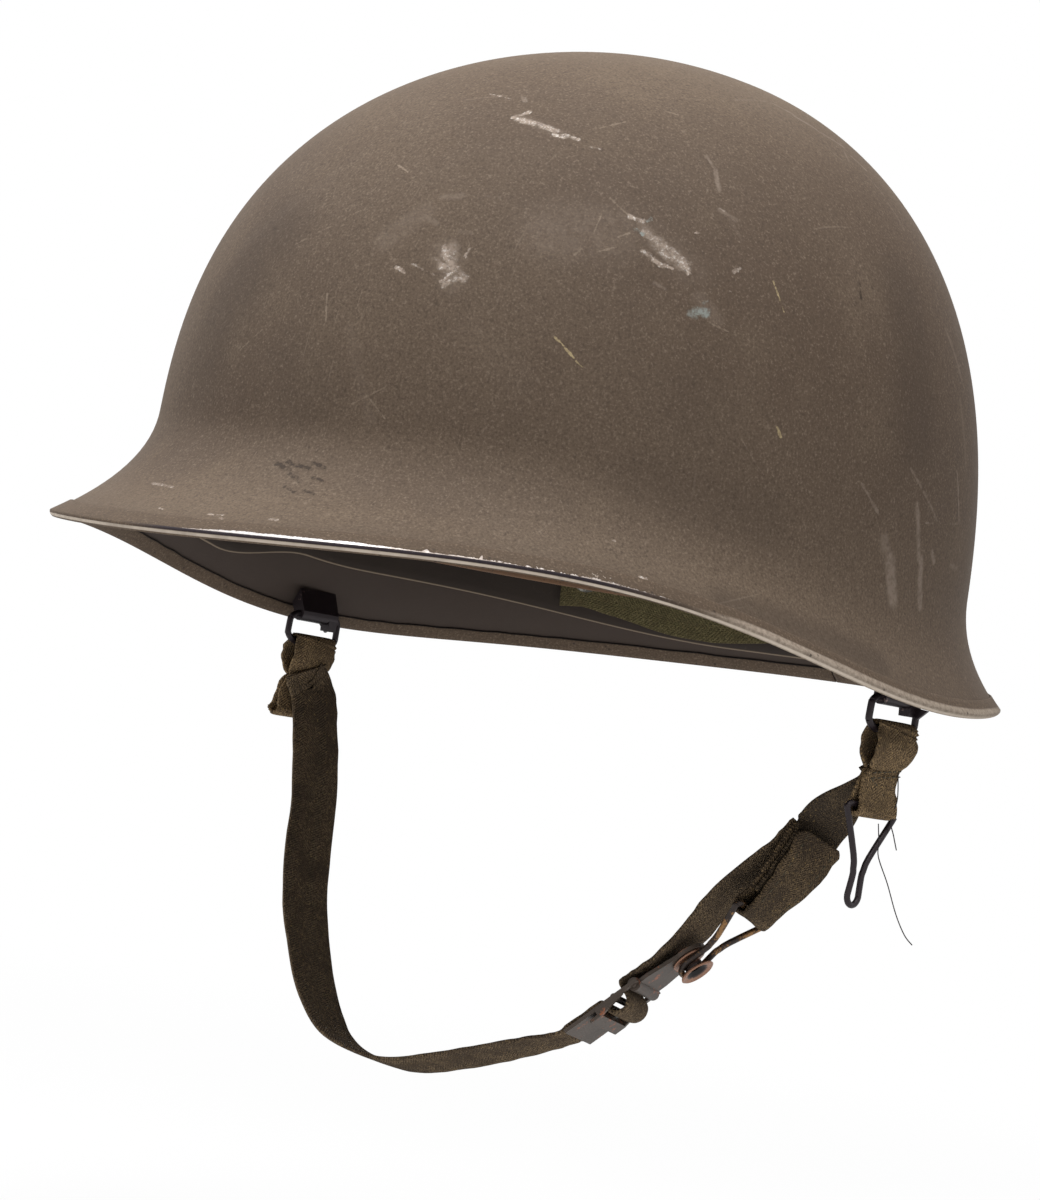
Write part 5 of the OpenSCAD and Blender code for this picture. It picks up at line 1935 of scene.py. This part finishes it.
    def right_half(self) -> None:
        """Makes the buckle half: under the chin, through the buckle and up inside the clip."""
        plate, clip = self.on_plate, self.on_clip
        under = -self.sheet / 2 - self.soft - self.strap_t / 2
        tail_n = -self.sheet / 2 - 1.3 - self.soft - self.strap_t / 2
        mid, lip = self.plate_len + 6.1, self.plate_len + 11.2
        end = self.plate_len - self.bar / 2 - 0.6 + self.buckle_len
        bulge = self.bar / 2 + self.strap_t + 1.3
        lace = [
            plate(end, under), plate(lip + 0.6, under), plate(lip - 1.9, under), plate(lip - 2, bulge),
            plate(mid - 3, bulge), plate(mid - 3, tail_n - 0.2), plate(mid - 4.5, tail_n - 0.2),
            plate(self.plate_len - 2.5, tail_n), plate(6, tail_n), clip(-6, tail_n - 1.1),
            clip(-self.tail_len / 2, tail_n - 3.4), clip(-self.tail_len + 2, tail_n - 3.4),
            self.bent(17.5, -5.2), self.bent(24.5, -3.5),
        ]
        chin = catmull(np.array([*self.under_chin(), plate(end + 3, under - 0.4), lace[0]]), 14)
        path = np.concatenate([chin, cut_corners(np.array(lace), 3)[1:]])
        cloth = Web(self.strap_w, self.strap_t, seed=51, ruffle=0.3)
        strap = cloth.build("right_strap_cloth", path, self.paints.chin)
        self.dress(strap, "strap_right", "strap_web", "strap_right")

    def threads(self) -> None:
        """Makes the two loose thread ends that hang from the left anchor's sewing."""
        x = self.low_bar[0] + self.strap_t
        short = (
            (0, 20.3, -19.8), (0.9, 20.6, -26.8), (0.3, 20.0, -32.1), (0.5, 22.0, -36.1), (0.6, 24.0, -39.6),
        )
        long = (
            (0, 15.4, -33.5), (0.6, 16.0, -38.2), (0.5, 17.0, -42.0), (0.4, 22.7, -48.5), (0.2, 28.6, -56.0),
            (0.4, 33.4, -61.1), (0.6, 37.2, -63.5),
        )
        for number, route in enumerate((short, long)):
            path = catmull(np.array(route) + [x, 0, 0], 6)
            name = "loose_thread_%d" % number
            end = tube(name, path, self.loose_thread, self.paints.dark_thread, sides=6)
            self.dress(end, "anchor_left", "strap_web")


@dataclass
class Hardware:
    """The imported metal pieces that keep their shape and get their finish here."""

    paints: Paints

    def build(self) -> None:
        """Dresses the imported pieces."""
        steel = ("liner_rivets", "a_washers", "sweatband_clips", "sweatband_buckle", "nape_studs")
        finishes = {
            **dict.fromkeys(("hinge_lug_left", "hinge_lug_right"), self.paints.wire),
            **dict.fromkeys(steel, self.paints.steel),
            "strap_stud": self.paints.stud,
            **dict.fromkeys(("stud_plate", "slide_buckle"), self.paints.plate),
        }
        for node, finish in finishes.items():
            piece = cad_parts[node]
            piece.data.materials.clear()
            piece.data.materials.append(finish)
            LOG.info("%s dressed", node)


@dataclass(frozen=True)
class Lamp:
    """One round soft lamp that faces the part; its sizes are in metres and its power in watts."""

    name: str
    at: Vec
    size: float
    power: float


@dataclass(frozen=True)
class Studio:
    """The pale floor, the soft light and the camera, in metres."""

    floor_z: float = -0.2
    floor_half: float = 40.0
    floor_grey: float = 0.94
    ambient: float = 0.16
    lamps: tuple[Lamp, ...] = (
        Lamp("top lamp", (0.25, -0.35, 1.5), 1.4, 30.0),
        Lamp("side lamp", (-1.2, -0.6, 1.0), 1.0, 9.0),
    )

    def build(self) -> None:
        """Makes the stage, the lamps and the camera."""
        self.camera()
        self.floor()
        self.sky()
        for lamp in self.lamps:
            self.lamp(lamp)
        bpy.context.scene.view_settings.view_transform = "Standard"
        LOG.info("studio built")

    @staticmethod
    def aim(piece: bpy.types.Object, at: Sequence[float], right: np.ndarray, back: np.ndarray) -> None:
        """Places a camera or a lamp and turns it.

        Args:
            piece: The camera or the lamp.
            at: Its place, in metres.
            right: The direction of its own right.
            back: The direction behind it.
        """
        turn = np.stack([right, np.cross(back, right), back], 1)
        piece.matrix_world = Matrix.Translation(at) @ Matrix(turn.tolist()).to_4x4()

    def camera(self) -> None:
        """Sets the camera where the photograph was taken from."""
        data = bpy.data.cameras.new("view camera")
        data.sensor_fit, data.sensor_height, data.lens = "VERTICAL", VIEW.sensor, VIEW.lens
        data.clip_start, data.clip_end = 0.01, 50.0
        camera = linked("view camera", data)
        right, _, back = VIEW.axes()
        self.aim(camera, [c * MM for c in VIEW.at], right, back)
        bpy.context.scene.camera = camera

    def floor(self) -> None:
        """Lays the pale floor, which shows white and still takes the shadow."""
        mesh = bpy.data.meshes.new("floor")
        signs = ((-1, -1), (1, -1), (1, 1), (-1, 1))
        corners = [(x * self.floor_half, y * self.floor_half, self.floor_z) for x, y in signs]
        mesh.from_pydata(corners, [], [(0, 1, 2, 3)])
        floor = linked("floor", mesh)
        g = Graph("pale floor")
        g.feed(g.shader, {"Base Color": (*[self.floor_grey] * 3, 1), "Roughness": 0.9})
        x, y, _ = g.parts(g.place())
        far = ((x * x + y * y) ** 0.5).rise(0.25, 1.1)
        glow = g.node("ShaderNodeEmission", None, {"Color": (1, 1, 1, 1), "Strength": 1.0})
        white = g.unlit() * (far * 0.14 + 0.86)
        both = g.node("ShaderNodeMixShader", None, {0: white, 1: g.shader.outputs[0], 2: glow.outputs[0]})
        g.feed(g.tree.nodes["Material Output"], {"Surface": both.outputs[0]})
        mesh.materials.append(g.material)

    def sky(self) -> None:
        """Sets an even sky, white to look at and dim as a light."""
        world = bpy.data.worlds.new("studio")
        bpy.context.scene.world = world
        world.use_nodes = True
        n = Nodes(world.node_tree)
        level = n.node("ShaderNodeMapRange", None, {"Value": n.unlit(), "To Min": self.ambient})
        n.feed(n.tree.nodes["Background"], {"Color": (1, 1, 1, 1), "Strength": level.outputs[0]})

    def lamp(self, lamp: Lamp) -> None:
        """Hangs one soft lamp that looks at the part.

        Args:
            lamp: The lamp.
        """
        data = bpy.data.lights.new(lamp.name, "AREA")
        data.shape, data.size, data.energy = "DISK", lamp.size, lamp.power
        back = unit(np.array(lamp.at))
        self.aim(linked(lamp.name, data), lamp.at, unit(np.cross([0.0, 1.0, 0.001], back)), back)


def main() -> None:
    """Builds the whole scene in order."""
    logging.basicConfig(level=logging.INFO, format="%(name)s: %(message)s")
    Studio().build()
    paints = Paints()
    stitches = StitchRows()
    Shell(paints).build()
    Liner(paints, stitches).build()
    ChinStrap(paints, stitches).build()
    Hardware(paints).build()


if __name__ == "__main__":
    main()
